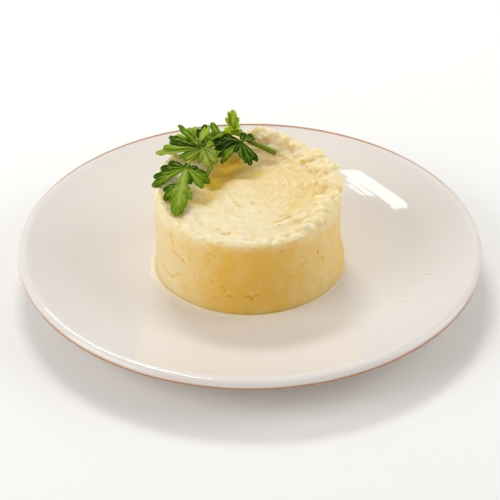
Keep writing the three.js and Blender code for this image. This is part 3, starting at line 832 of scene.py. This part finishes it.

# %% [markdown]
# Mash is cooked potato with butter and milk. Light goes some millimetres into it and comes out
# again, red furthest and blue least, so its shaded side glows golden and its lit top is pale.
# That is subsurface scattering, with one radius for each of red, green and blue. The base
# colour is pale where the mash is aired and on its crests, and the top's paler colour and the
# wall's pale flanks are partly painted light. It is golden in the hollows, where butter gathers,
# and in the dents and under the leaves, which is painted shade. Its surface is moist, so roughness
# is middling, and a thin film of water, a weak coat of IOR 1.33, gives it a faint sheen. The grain
# of milled potato cells, about 0.8 mm, is a shallow bump.

# %% Mash material
mash_material, add = start_material("buttered_mashed_potato")
place = add("ShaderNodeTexCoord").outputs["Object"]
aired_and_light_value = add("ShaderNodeAttribute", attribute_name="aired_and_painted_light").outputs["Fac"]
butter_and_shade_value = add("ShaderNodeAttribute", attribute_name="butter_and_painted_shade").outputs["Fac"]
butter = add("ShaderNodeTexNoise", {"Vector": place, "Scale": 1 / 0.011, "Detail": 3.0})
# Golden where butter and painted shade gather; paler on crests.
butter_and_shade_share = add("ShaderNodeMapRange", {"Value": butter_and_shade_value, "From Max": 2.4, "To Max": 1.0})
paler_on_crests = add("ShaderNodeMapRange", {"Value": butter_and_shade_value, "From Max": -0.7, "To Max": 0.75})

# Colours of the wall, the aired top with its painted light, and the butter and painted shade: what mixes
# two, and the two.
wall_colour, top_colour, butter_and_shade_colour = [
    add("ShaderNodeMix", {MIX_FACTOR: share, MIX_A: colour(a), MIX_B: colour(b)}, data_type="RGBA")
    for share, a, b in (
        (butter, "EDBE4A", "F2CB68"),
        (butter, "F0DDA7", "F6EAC9"),
        (aired_and_light_value, "ECB42C", "ECC43C"),
    )
]
mash_colour = wall_colour
# Mixed in turn: the aired top with its painted light, the butter and painted shade, and the paler
# crests.
for share, over in (
    (aired_and_light_value, top_colour),
    (butter_and_shade_share, butter_and_shade_colour),
    (paler_on_crests, colour("FAEED0")),
):
    layers = {MIX_FACTOR: share, MIX_A: mash_colour, MIX_B: over}
    mash_colour = add("ShaderNodeMix", layers, data_type="RGBA")

cells = add("ShaderNodeTexNoise", {"Vector": place, "Scale": 1 / 0.0008, "Detail": 3.0})
moist = add("ShaderNodeMapRange", {
    "Value": cells,
    "From Min": 0.3,
    "From Max": 0.7,
    "To Min": 0.4,
    "To Max": 0.6,
})
shader = add("ShaderNodeBsdfPrincipled", {
    "Base Color": mash_colour,
    "Roughness": moist,
    "IOR": 1.4,
    "Subsurface Weight": 1.0,
    "Subsurface Radius": (1.0, 0.94, 0.45),
    "Subsurface Scale": 0.0034,
    "Specular IOR Level": 0.35,
    "Coat Weight": 0.25,
    "Coat Roughness": 0.4,
    "Coat IOR": 1.33,
    "Normal": add("ShaderNodeBump", {"Strength": 0.4, "Distance": 0.00025, "Height": cells}),
})
finish_material(mash_material, shader)
finish_piece(mash, mash_material, "mash")

# %% [markdown]
# ## The wet film at the foot
#
# A freshly turned-out mash weeps a little milky liquid. It draws up against the whole foot in a
# narrow fillet, and at the left it spreads as a thin ragged film with a few bubbles. Small drops
# of it fell on the glaze. The film is a grid bent round the foot to a closed ring and thinned to
# its outer edge; bubbles and drops are flattened icospheres. All are one mesh, since they are one
# liquid. A vertex value tells how far a place is from the mash.

# %% Milky film and drops
FILM_STEPS, FILM_ROWS = 360, 16
FILM_FILLET = 0.9
FILM_REACH = 2.3
FILM_UNDER = 1.6
film_shape = bmesh.new()
thinned = film_shape.verts.layers.float.new("thinned")
film_grid = bmesh.ops.create_grid(
    film_shape, x_segments=FILM_STEPS, y_segments=FILM_ROWS, size=0.5,
)["verts"]
for vertex in film_grid:
    along, across = vertex.co.x + 0.5, vertex.co.y + 0.5
    turn = 2 * math.pi * along
    round_x, round_y = math.cos(turn), math.sin(turn)
    ragged = 0.7 + 0.6 * noise.noise((3 * round_x, 3 * round_y, 3))
    ragged += 0.4 * noise.noise((12 * round_x, 12 * round_y, 8))
    at_left = bell(degrees_apart(math.degrees(turn), -140), 42)
    reach = FILM_FILLET + FILM_REACH * at_left * max(0, ragged)
    inner = MASH_RADIUS - FILM_UNDER + flare_at(math.degrees(turn), 0)
    radius = inner + (reach + FILM_UNDER) * across
    x, y = MASH_X + radius * round_x, MASH_Y + radius * round_y
    crest = 0.08 + 0.08 * noise.noise((x / 0.9, y / 0.9, 0))
    from_wall = max(0, (reach + FILM_UNDER) * across - FILM_UNDER + 0.3)
    swell = 1.3 * bell(from_wall, 0.7) * (1 - across) + crest * math.sqrt(max(0, 1 - across ** 4))
    vertex.co = (x, y, plate_top(math.hypot(x, y)) + 0.02 + swell)
    vertex[thinned] = min(1, from_wall / 1.3)

bmesh.ops.remove_doubles(film_shape, verts=film_shape.verts, dist=0.001)
bmesh.ops.recalc_face_normals(film_shape, faces=film_shape.faces)
bmesh.ops.solidify(film_shape, geom=film_shape.faces[:], thickness=0.06)

# Drops on the glaze: place in the plan and radius.
DROPS = [
    (63.4, -37, 0.9), (68.1, -37.6, 1.1), (66, -37, 0.7), (79.2, -18.2, 1), (81.2, -18.9, 0.7),
    (28.7, -37.5, 0.6), (35.5, -30.3, 0.5), (41.3, -44.5, 0.5), (48.5, -53.8, 0.4),
]
drip = random.Random(3)
for i in range(70):
    turn = drip.uniform(-178, -128)
    away = MASH_RADIUS + drip.uniform(0.8, 4.5)
    DROPS.append((*from_middle(turn, away), drip.uniform(0.18, 0.5)))
for x, y, size in DROPS:
    flat = Matrix.Translation((x, y, plate_top(math.hypot(x, y)) + 0.05)) @ Matrix.Diagonal(
        (drip.uniform(0.8, 1.4), drip.uniform(0.7, 1), drip.uniform(0.2, 0.32), 1)
    )
    drop = bmesh.ops.create_icosphere(film_shape, subdivisions=2, radius=size, matrix=flat)
    for vertex in drop["verts"]:
        vertex[thinned] = 1
bmesh.ops.recalc_face_normals(film_shape, faces=film_shape.faces)
film = to_object("milky_film", film_shape)

# %% [markdown]
# The liquid is potato water with starch and butter in it. It is wet, so it is smooth, with the
# IOR of water, and milky, with clouds of starch some 2 mm across. Beside the mash it is thick with
# butter and takes the mash's yellow.

# %% Milky potato water
milk, add = start_material("milky_potato_water")
place = add("ShaderNodeTexCoord").outputs["Object"]
starch = add("ShaderNodeTexNoise", {"Vector": place, "Scale": 1 / 0.002, "Detail": 3.0})
milk_colour = add("ShaderNodeMix", {
    MIX_FACTOR: starch,
    MIX_A: colour("EEE4D4"),
    MIX_B: colour("F6F0E6"),
}, data_type="RGBA")
from_butter = add("ShaderNodeMix", {
    MIX_FACTOR: add("ShaderNodeAttribute", attribute_name="thinned").outputs["Fac"],
    MIX_A: colour("F0DAA4"),
    MIX_B: milk_colour,
}, data_type="RGBA")
shader = add("ShaderNodeBsdfPrincipled", {"Base Color": from_butter, "Roughness": 0.12, "IOR": 1.34})
finish_material(milk, shader)
finish_piece(film, milk)

# %% [markdown]
# ## Parsley: stem and stalks
#
# The sprig is one length of a flat-leaf parsley plant: a green stem about 2 mm thick that tapers
# to its last joint, and thin stalks that branch off it. Each is a tube along a smooth route. A
# tube could be a curve with a bevel, but rings of vertices, bridged from point to point, give a
# plain mesh that tapers as it goes and is closed at both ends.

# %% Stem and stalks
JOINTS = {
    "front": (-28.3, 4.6, 54.5),
    "fork": (-30, -5.4, 52.95),
    "hanging": (-4.3, 24.8, 56),
    "upright": (-5.5, 31.4, 57.5),
    "foot": (-8, 31.2, 57.6),
    "spiky": (-14.8, 29.4, 57.4),
    "flat": (-10.2, 30.4, 57.6),
    "left": (-21.7, 20.3, 55.2),
    "middle": (-20.7, 18.8, 56.2),
    "drop": (-16.8, 11.5, 53),
    "back": (-23.6, 28.6, 55.5),
    "bright": (-22.6, 24.4, 55.5),
}
LAST_JOINT = (-21.7, 20.3, 55)
STALKS = [
    [LAST_JOINT, (-24.9, 13.6, 55), JOINTS["front"]],
    [(-3.2, 29.6, 56), JOINTS["hanging"]],
    [(-8.2, 30.6, 57), JOINTS["upright"], (-6.6, 31.5, 60)],
    [LAST_JOINT, JOINTS["bright"], JOINTS["back"]],
    [LAST_JOINT, JOINTS["middle"]],
]
STEM_START_RADIUS, STEM_END_RADIUS = 1.232, 0.682
STALK_RADIUS = 0.51


def smooth_route(points, steps_each):
    """Points along a Catmull-Rom curve through the given ones."""
    knots = [Vector(point) for point in points]
    ends = [2 * knots[0] - knots[1], *knots, 2 * knots[-1] - knots[-2]]
    route = []
    for i in range(len(knots) - 1):
        a, b, c, d = ends[i:i + 4]
        for step in range(steps_each):
            t = step / steps_each
            route.append(0.5 * (
                2 * b + (c - a) * t + (2 * a - 5 * b + 4 * c - d) * t ** 2
                + (3 * b - a - 3 * c + d) * t ** 3
            ))
    return route + [knots[-1]]


def add_tube(shape, route, radii, sides=12):
    """A closed round tube along a route, with a radius for each point."""
    rings = []
    for i, point in enumerate(route):
        ahead = (route[min(i + 1, len(route) - 1)] - route[max(i - 1, 0)]).normalized()
        frame_matrix = Matrix.Translation(point) @ ahead.to_track_quat("Z", "Y").to_matrix().to_4x4()
        ring = bmesh.ops.create_circle(shape, segments=sides, radius=radii[i], matrix=frame_matrix)
        rings.append(ring["verts"])
    for low, high in zip(rings, rings[1:]):
        edges = [edge for ring in (low, high) for edge in ring_edges(ring)]
        bmesh.ops.bridge_loops(shape, edges=edges)
    for ring in (rings[0], rings[-1]):
        bmesh.ops.contextual_create(shape, geom=ring)


def ring_edges(ring):
    """The edges that join neighbouring vertices of one ring."""
    members = set(ring)
    return {edge for vertex in ring for edge in vertex.link_edges if set(edge.verts) <= members}


sprig_stems = bmesh.new()
stem_route = smooth_route(STEM_ROUTE, 6)
add_tube(sprig_stems, stem_route, spaced(STEM_START_RADIUS, STEM_END_RADIUS, len(stem_route) - 1))
for points in STALKS:
    stalk_route = smooth_route(points, 6)
    add_tube(sprig_stems, stalk_route, [STALK_RADIUS] * len(stalk_route), sides=8)
print("stems:", len(sprig_stems.verts), "vertices")

# %% [markdown]
# ## Parsley: leaves
#
# A flat-leaf parsley leaf is a fan of lobes. Each lobe is a narrow wedge that widens from the
# joint to its shoulder and ends in a rounded, toothed tip, with a vein along its middle and side
# veins that end in the teeth. So each lobe is a grid whose rows are side veins: its row says which
# vein, and its column how far out along it a point lies. The first rows run up the straight wedge
# and the others round the end. The grid gets its shape from one formula for the outline and one
# for the lift, and Solidify gives it a thickness at the end. The grid's UV map counts the teeth,
# so the material can draw the veins where they really run.

# %% Lobe formulas
LEAF_THICKNESS = 0.4
MIDRIB_SHARE = 0.8
VEIN_LEAN = 0.9
BASE_WIDTH = 0.03
WEDGE_ROWS = 0.34
NOTCH_DEPTH = 0.16
TOOTH_ROUND = 0.45
LEAF_FOLD = 0.16
LEAF_DROOP = 0.9
LEAF_PUCKER = 0.3
LEAF_WAVE = 0.22


def tooth_phase(row, teeth):
    """Teeth counted along the rows from halfway up the wedge. The tip is half a tooth."""
    start = WEDGE_ROWS / 2
    return (row - start) / (1 - start) * (teeth + 0.5)


def lobe_point(row, column, width, teeth, shoulder):
    """A point of a lobe of unit length, as the distance along and across its midrib."""
    if row < WEDGE_ROWS:
        share = row / WEDGE_ROWS
        along = shoulder * share
        across = lerp(BASE_WIDTH, width, share ** 1.15)
    else:
        turn = (row - WEDGE_ROWS) / (1 - WEDGE_ROWS) * math.pi / 2
        along = shoulder + (1 - shoulder) * math.sin(turn)
        across = width * max(0, math.cos(turn)) ** 0.8
    vein_start = MIDRIB_SHARE * max(0, along - across * VEIN_LEAN)
    phase = tooth_phase(row, teeth)
    tooth = abs(math.sin(math.pi * phase)) ** TOOTH_ROUND if phase > 0 else 0
    notch = NOTCH_DEPTH * smoothstep(phase, 0, 0.9)
    out = abs(column) * (1 - notch * (1 - tooth))
    return vein_start + (along - vein_start) * out, math.copysign(across * out, column)

# %% Table of lobes
# Each lobe: joint, tip, half-width at its shoulder and place of its shoulder as shares of its
# length with its teeth on a side between them, bow of its middle in millimetres, roll about its
# midrib in degrees, and tone, from 0, dark, over 0.5, pale, to 1, yellow-green. The tone holds the
# lobe's own green and painted light: lobes turned away from the light are painted darker, and
# lobes lit through from behind are painted yellow-green.
LOBES = [
    ("front", (-36.6, 12.7, 52.6), 0.14, 1, 0.66, 0.4, -6, 0),
    ("front", (-40.3, 8.8, 51.6), 0.15, 1, 0.7, 0.6, -4, 0),
    ("front", (-43.1, 2.8, 50.6), 0.12, 1, 0.74, 0.8, 0, 0.1),
    ("front", (-43.5, -3.5, 49.6), 0.13, 2, 0.72, 1, 4, 0.28),
    ("fork", (-38.5, -7, 50), 0.18, 1, 0.66, 0.6, 4, 0),
    ("fork", (-37.8, -12.5, 48.6), 0.2, 2, 0.62, 0.8, 4, 0.2),
    ("fork", (-26.4, -8.5, 51), 0.24, 1, 0.6, 0.4, 0, 0.5),
    ("fork", (-25.8, -13, 49.2), 0.18, 2, 0.64, 0.6, 0, 0.55),
    ("front", (-32.2, -22.8, 47.2), 0.14, 3, 0.66, 1.6, 0, 0.42),
    ("front", (-26.3, -4.1, 51.6), 0.2, 1, 0.66, 0.3, 0, 0.2),
    ("front", (-19.4, 4.2, 51.6), 0.15, 1, 0.7, 0.6, 6, 0.08),
    ("front", (-17.7, -1.7, 50.6), 0.15, 2, 0.7, 0.9, 10, 0.3),
    ("front", (-20.8, -6, 50.8), 0.14, 1, 0.7, 0.9, 6, 0.36),
    ("front", (-23, 5.8, 54), 0.26, 2, 0.56, 0.2, 0, 0),
    ("front", (-27.7, 8.9, 54.6), 0.34, 1, 0.5, 0.1, 0, 0),
    ("left", (-36.8, 26.2, 57.6), 0.13, 2, 0.72, 0.5, 10, 0.12),
    ("left", (-36.6, 23.2, 56.6), 0.11, 1, 0.76, 0.5, 10, 0.15),
    ("left", (-39.3, 20.5, 55.6), 0.12, 1, 0.74, 0.6, 10, 0.45),
    ("left", (-42.6, 18.3, 53.6), 0.12, 2, 0.66, 0.6, 14, 0.58),
    ("left", (-31.9, 16.6, 52.4), 0.14, 1, 0.7, 0.4, -8, 0.4),
    ("left", (-29.9, 14.5, 52), 0.12, 1, 0.7, 0.3, -8, 0.45),
    ("left", (-33.6, 29, 57.4), 0.08, 1, 0.5, 0.4, 10, 0.9),
    ("left", (-32.6, 31.8, 60.6), 0.12, 2, 0.36, 0, 10, 0.25),
    ("back", (-28.5, 34, 57.6), 0.24, 1, 0.62, 0.3, 0, 0.5),
    ("back", (-25.3, 33.9, 58.4), 0.3, 1, 0.62, 0.2, 0, 0.6),
    ("back", (-23.4, 31.8, 58.6), 0.24, 1, 0.66, 0.2, 0, 0),
    ("back", (-20.1, 33.2, 60), 0.18, 1, 0.6, 0.1, 0, 0),
    ("bright", (-18.7, 33.5, 59.6), 0.19, 1, 0.36, 0.2, 0, 0.6),
    ("bright", (-25, 26.1, 55.2), 0.5, 1, 0.5, 0.1, 0, 0.6),
    ("bright", (-15.2, 29.6, 58.4), 0.16, 2, 0.6, 0.2, 0, 0.3),
    ("spiky", (-17.6, 34, 60.6), 0.3, 1, 0.16, 0.1, 0, 0.3),
    ("flat", (-20.4, 25.1, 56.6), 0.15, 2, 0.4, 0.2, 0, 0.3),
    ("middle", (-21.4, 23.1, 58), 0.26, 1, 0.5, 0, 0, 0),
    ("middle", (-16.5, 23.5, 56.4), 0.28, 2, 0.6, 0.2, 0, 0.35),
    ("middle", (-14.2, 15.4, 54.6), 0.22, 1, 0.66, 0.4, 0, 0.4),
    ("middle", (-15, 11, 52.6), 0.22, 2, 0.68, 0.6, 0, 0.45),
    ("middle", (-18.4, 9.6, 52), 0.18, 1, 0.7, 0.6, 0, 0.55),
    ("middle", (-23.1, 12.7, 51.8), 0.18, 2, 0.66, 0.4, 0, 0.5),
    ("middle", (-26.1, 14.8, 52.2), 0.16, 1, 0.66, 0.4, 0, 0.35),
    ("drop", (-19.6, 6.2, 48.4), 0.14, 1, 0.3, 0.2, 0, 0.36),
    ("hanging", (-2.5, 30.2, 57.6), 0.28, 1, 0.56, 0.1, 0, 0),
    ("hanging", (1.3, 28.8, 57.2), 0.26, 1, 0.66, 0.2, 0, -0.1),
    ("hanging", (2.5, 26.2, 56.8), 0.16, 1, 0.66, 0.2, 0, 0.2),
    ("hanging", (-6.9, 18.6, 54.2), 0.18, 2, 0.62, 0.2, 0, 0),
    ("hanging", (-4.1, 16.1, 52.8), 0.15, 1, 0.66, 0.4, 0, 0.3),
    ("hanging", (-1.8, 13.7, 51.4), 0.11, 1, 0.72, 0.6, 0, 0.3),
    ("hanging", (0.4, 12.4, 51.2), 0.12, 1, 0.74, 0.8, 0, 0.1),
    ("hanging", (3.4, 15.4, 51.4), 0.12, 2, 0.7, 0.8, 0, 0.05),
    ("hanging", (-17.9, 26.3, 54.6), 0.26, 2, 0.5, 0.5, 10, 0),
    ("hanging", (-15, 28.5, 56), 0.26, 3, 0.46, 0.5, 10, 0),
    ("hanging", (-16.5, 22.9, 52.4), 0.13, 1, 0.6, 0.4, 0, 0),
    ("hanging", (-14.7, 18.5, 51.6), 0.11, 1, 0.66, 0.5, 0, 0),
    ("hanging", (-13.1, 15.2, 50.4), 0.12, 2, 0.62, 0.8, 0, 0.3),
    ("foot", (-7.7, 30.9, 68.7), 0.19, 1, 0.6, 0, 0, 0.7),
    ("foot", (-9.8, 30.9, 67.8), 0.07, 0, 0.8, 0, 0, 0.8),
    ("foot", (-10.9, 31, 64.7), 0.11, 0, 0.8, 0, 0, 0.7),
    ("foot", (-5.2, 31.2, 64.6), 0.15, 1, 0.66, 0, 0, 0.6),
    ("foot", (-4.8, 31.2, 61.1), 0.3, 0, 0.5, 0, 0, 0.9),
    ("upright", (-11.8, 31.2, 58.7), 0.34, 2, 0.5, 0, 0, 1),
    ("upright", (-10, 31.2, 62.2), 0.34, 1, 0.5, 0, 0, 1),
    ("foot", (-3.4, 31.4, 57.6), 0.3, 1, 0.5, 0, 0, 0.5),
]

# %% Lobes
ROWS_PER_TOOTH = 12
WEDGE_STEPS = 12
COLUMNS = 10


def lobe_axes(base, tip, roll):
    """Unit vectors ahead, to the side and up for a lobe."""
    ahead = (tip - base).normalized()
    up = Vector((0, -1, 0.4)) if abs(ahead.z) > 0.8 else Vector((0, -0.35, 1))
    side = ahead.cross(up).normalized()
    side = Matrix.Rotation(math.radians(roll), 3, ahead) @ side
    return ahead, side, side.cross(ahead).normalized()


def add_lobe(shape, uv_layer, tone_and_light_layer, lobe, number):
    """Adds one lobe as a thin sheet, with its vein map and its tone, which carries painted light."""
    joint, tip, width, teeth, shoulder, bow, roll, tone_and_light = lobe
    base, tip = Vector(JOINTS[joint]), Vector(tip)
    length = (tip - base).length
    ahead, side, up = lobe_axes(base, tip, roll)
    rows = WEDGE_STEPS + ROWS_PER_TOOTH * teeth
    grid = bmesh.ops.create_grid(shape, x_segments=COLUMNS, y_segments=rows, size=1)["verts"]
    faces = {face for vertex in grid for face in vertex.link_faces}
    for face in faces:
        for loop in face.loops:
            column, row = loop.vert.co.x, (loop.vert.co.y + 1) / 2
            loop[uv_layer].uv = ((column + 1) / 2, tooth_phase(row, teeth))
    for vertex in grid:
        column, row = vertex.co.x, (vertex.co.y + 1) / 2
        along, across = lobe_point(row, column, width, teeth, shoulder)
        fold = LEAF_FOLD * abs(across) - LEAF_DROOP * across ** 2
        phase = tooth_phase(row, teeth)
        pucker = LEAF_PUCKER * abs(column) * math.cos(2 * math.pi * phase) * smoothstep(phase, 0, 0.5)
        lift = bow * math.sin(math.pi * along) + fold * length + pucker * min(1, length / 14)
        lift += LEAF_WAVE * noise.noise(Vector((along * length, across * length, 7 * number)) / 4)
        point = base + ahead * (along * length) + side * (across * length) + up * lift
        if from_axis(point.x, point.y) < MASH_RADIUS + 3:
            point.z = max(point.z, mash_top(point.x, point.y) + GAP + LEAF_THICKNESS)
        vertex.co = point
        vertex[tone_and_light_layer] = tone_and_light


blades = bmesh.new()
vein_map = blades.loops.layers.uv.new("veins")
tone_and_light_layer = blades.verts.layers.float.new("tone_and_light")
for number, lobe in enumerate(LOBES):
    add_lobe(blades, vein_map, tone_and_light_layer, lobe, number)
bmesh.ops.remove_doubles(blades, verts=blades.verts, dist=0.004)
bmesh.ops.dissolve_degenerate(blades, edges=blades.edges, dist=0.002)
print("blades:", len(blades.verts), "vertices")

# %% [markdown]
# Parsley leaves are green, satiny on top and paler in their veins. Light passes through them, so
# a little subsurface scattering keeps their shaded parts alive. The veins come from the UV map:
# U is 0.5 on the midrib, and V is a whole number at each notch, so a side vein lies where the
# fraction of V is one half. Each lobe has its own tone, mottled and darker towards its margins,
# and a ramp turns the tone to a green: dark, full, pale or yellow. The tone is partly the lobe's own
# green and partly painted shade, painted sheen and painted light shining through it.

# %% Parsley material
leaf_material, add = start_material("flat_leaf_parsley")
vein_place = add("ShaderNodeUVMap", uv_map="veins")
from_left, along_teeth = add("ShaderNodeSeparateXYZ", {"Vector": vein_place}).outputs[:2]
tooth_part = add("ShaderNodeMath", {0: along_teeth}, operation="FRACT")

# Side veins, then the midrib: the map value, where it fades from and to, and how strong it is.
shown = []
for value, near, far, strength in ((tooth_part, 0.03, 0.12, 0.55), (from_left, 0.02, 0.07, 0.9)):
    off = add("ShaderNodeMath", {0: value, 1: 0.5}, operation="SUBTRACT")
    distance = add("ShaderNodeMath", {0: off}, operation="ABSOLUTE")
    shown.append(add("ShaderNodeMapRange", {
        "Value": distance,
        "From Min": near,
        "From Max": far,
        "To Min": strength,
        "To Max": 0.0,
    }, interpolation_type="SMOOTHSTEP"))
all_veins = add("ShaderNodeMath", {0: shown[0], 1: shown[1]}, operation="MAXIMUM")
from_midrib = distance

# %% Greens of the leaf
place = add("ShaderNodeTexCoord").outputs["Object"]
mottle = add("ShaderNodeTexNoise", {"Vector": place, "Scale": 1 / 0.0035, "Detail": 4.0})
tone_and_light_value = add("ShaderNodeAttribute", attribute_name="tone_and_light").outputs["Fac"]
for value, slope, shift in ((mottle, 0.3, -0.15), (from_midrib, -0.45, 0.1)):
    change = add("ShaderNodeMath", {0: value, 1: slope, 2: shift}, operation="MULTIPLY_ADD")
    tone_and_light_value = add("ShaderNodeMath", {0: change, 1: tone_and_light_value}, operation="ADD")
# Painted light in the tone: darker lobes in shade, paler ones with sheen, yellow ones lit through from
# behind.
greens = add("ShaderNodeValToRGB", {"Fac": tone_and_light_value})
GREENS_AND_LIGHT = [
    (0, "1E3C00"), (0.15, "3C5E00"), (0.32, "668404"), (0.55, "9CAE48"), (0.8, "9CB820"), (1, "A8C80C"),
]
stops = greens.color_ramp.elements
stops.remove(stops[1])
for position, green in GREENS_AND_LIGHT[1:]:
    stops.new(position)
for stop, (position, green) in zip(stops, GREENS_AND_LIGHT):
    stop.color = colour(green)
lighter = add("ShaderNodeMix", {
    MIX_FACTOR: 0.5,
    MIX_A: greens,
    MIX_B: colour("B8C46A"),
}, data_type="RGBA")
leaf_colour = add("ShaderNodeMix", {
    MIX_FACTOR: all_veins,
    MIX_A: greens,
    MIX_B: lighter,
}, data_type="RGBA")
shader = add("ShaderNodeBsdfPrincipled", {
    "Base Color": leaf_colour,
    "Roughness": 0.55,
    "IOR": 1.4,
    "Specular IOR Level": 0.06,
    "Subsurface Weight": 0.7,
    "Subsurface Radius": (0.8, 1.0, 0.03),
    "Subsurface Scale": 0.002,
    "Normal": add("ShaderNodeBump", {"Strength": 0.8, "Distance": 0.001, "Height": mottle}),
})
finish_material(leaf_material, shader)

# %% Thickness of the leaves
leaves = to_object("parsley_leaves", blades)
thicken = leaves.modifiers.new("thickness", "SOLIDIFY")
thicken.thickness = LEAF_THICKNESS
thicken.offset = -1
baked(leaves)
finish_piece(leaves, leaf_material, "parsley_sprig")

# %% [markdown]
# The stem is the same plant but rounder and lighter: a green skin over a pale core, mottled over
# some 4 mm, with a smoother gloss.

# %% Stem material
stem_material, add = start_material("parsley_stem_skin")
place = add("ShaderNodeTexCoord").outputs["Object"]
stem_mottle = add("ShaderNodeTexNoise", {"Vector": place, "Scale": 1 / 0.004, "Detail": 3.0})
stem_colour = add("ShaderNodeMix", {
    MIX_FACTOR: stem_mottle,
    MIX_A: colour("5E780A"),
    MIX_B: colour("8C9C22"),
}, data_type="RGBA")
shader = add("ShaderNodeBsdfPrincipled", {
    "Base Color": stem_colour,
    "Roughness": 0.35,
    "IOR": 1.45,
    "Specular IOR Level": 0.2,
    "Subsurface Weight": 0.3,
    "Subsurface Radius": (0.5, 1.0, 0.2),
    "Subsurface Scale": 0.001,
})
finish_material(stem_material, shader)
close_up(sprig_stems)
finish_piece(to_object("parsley_stems", sprig_stems), stem_material, "parsley_sprig")
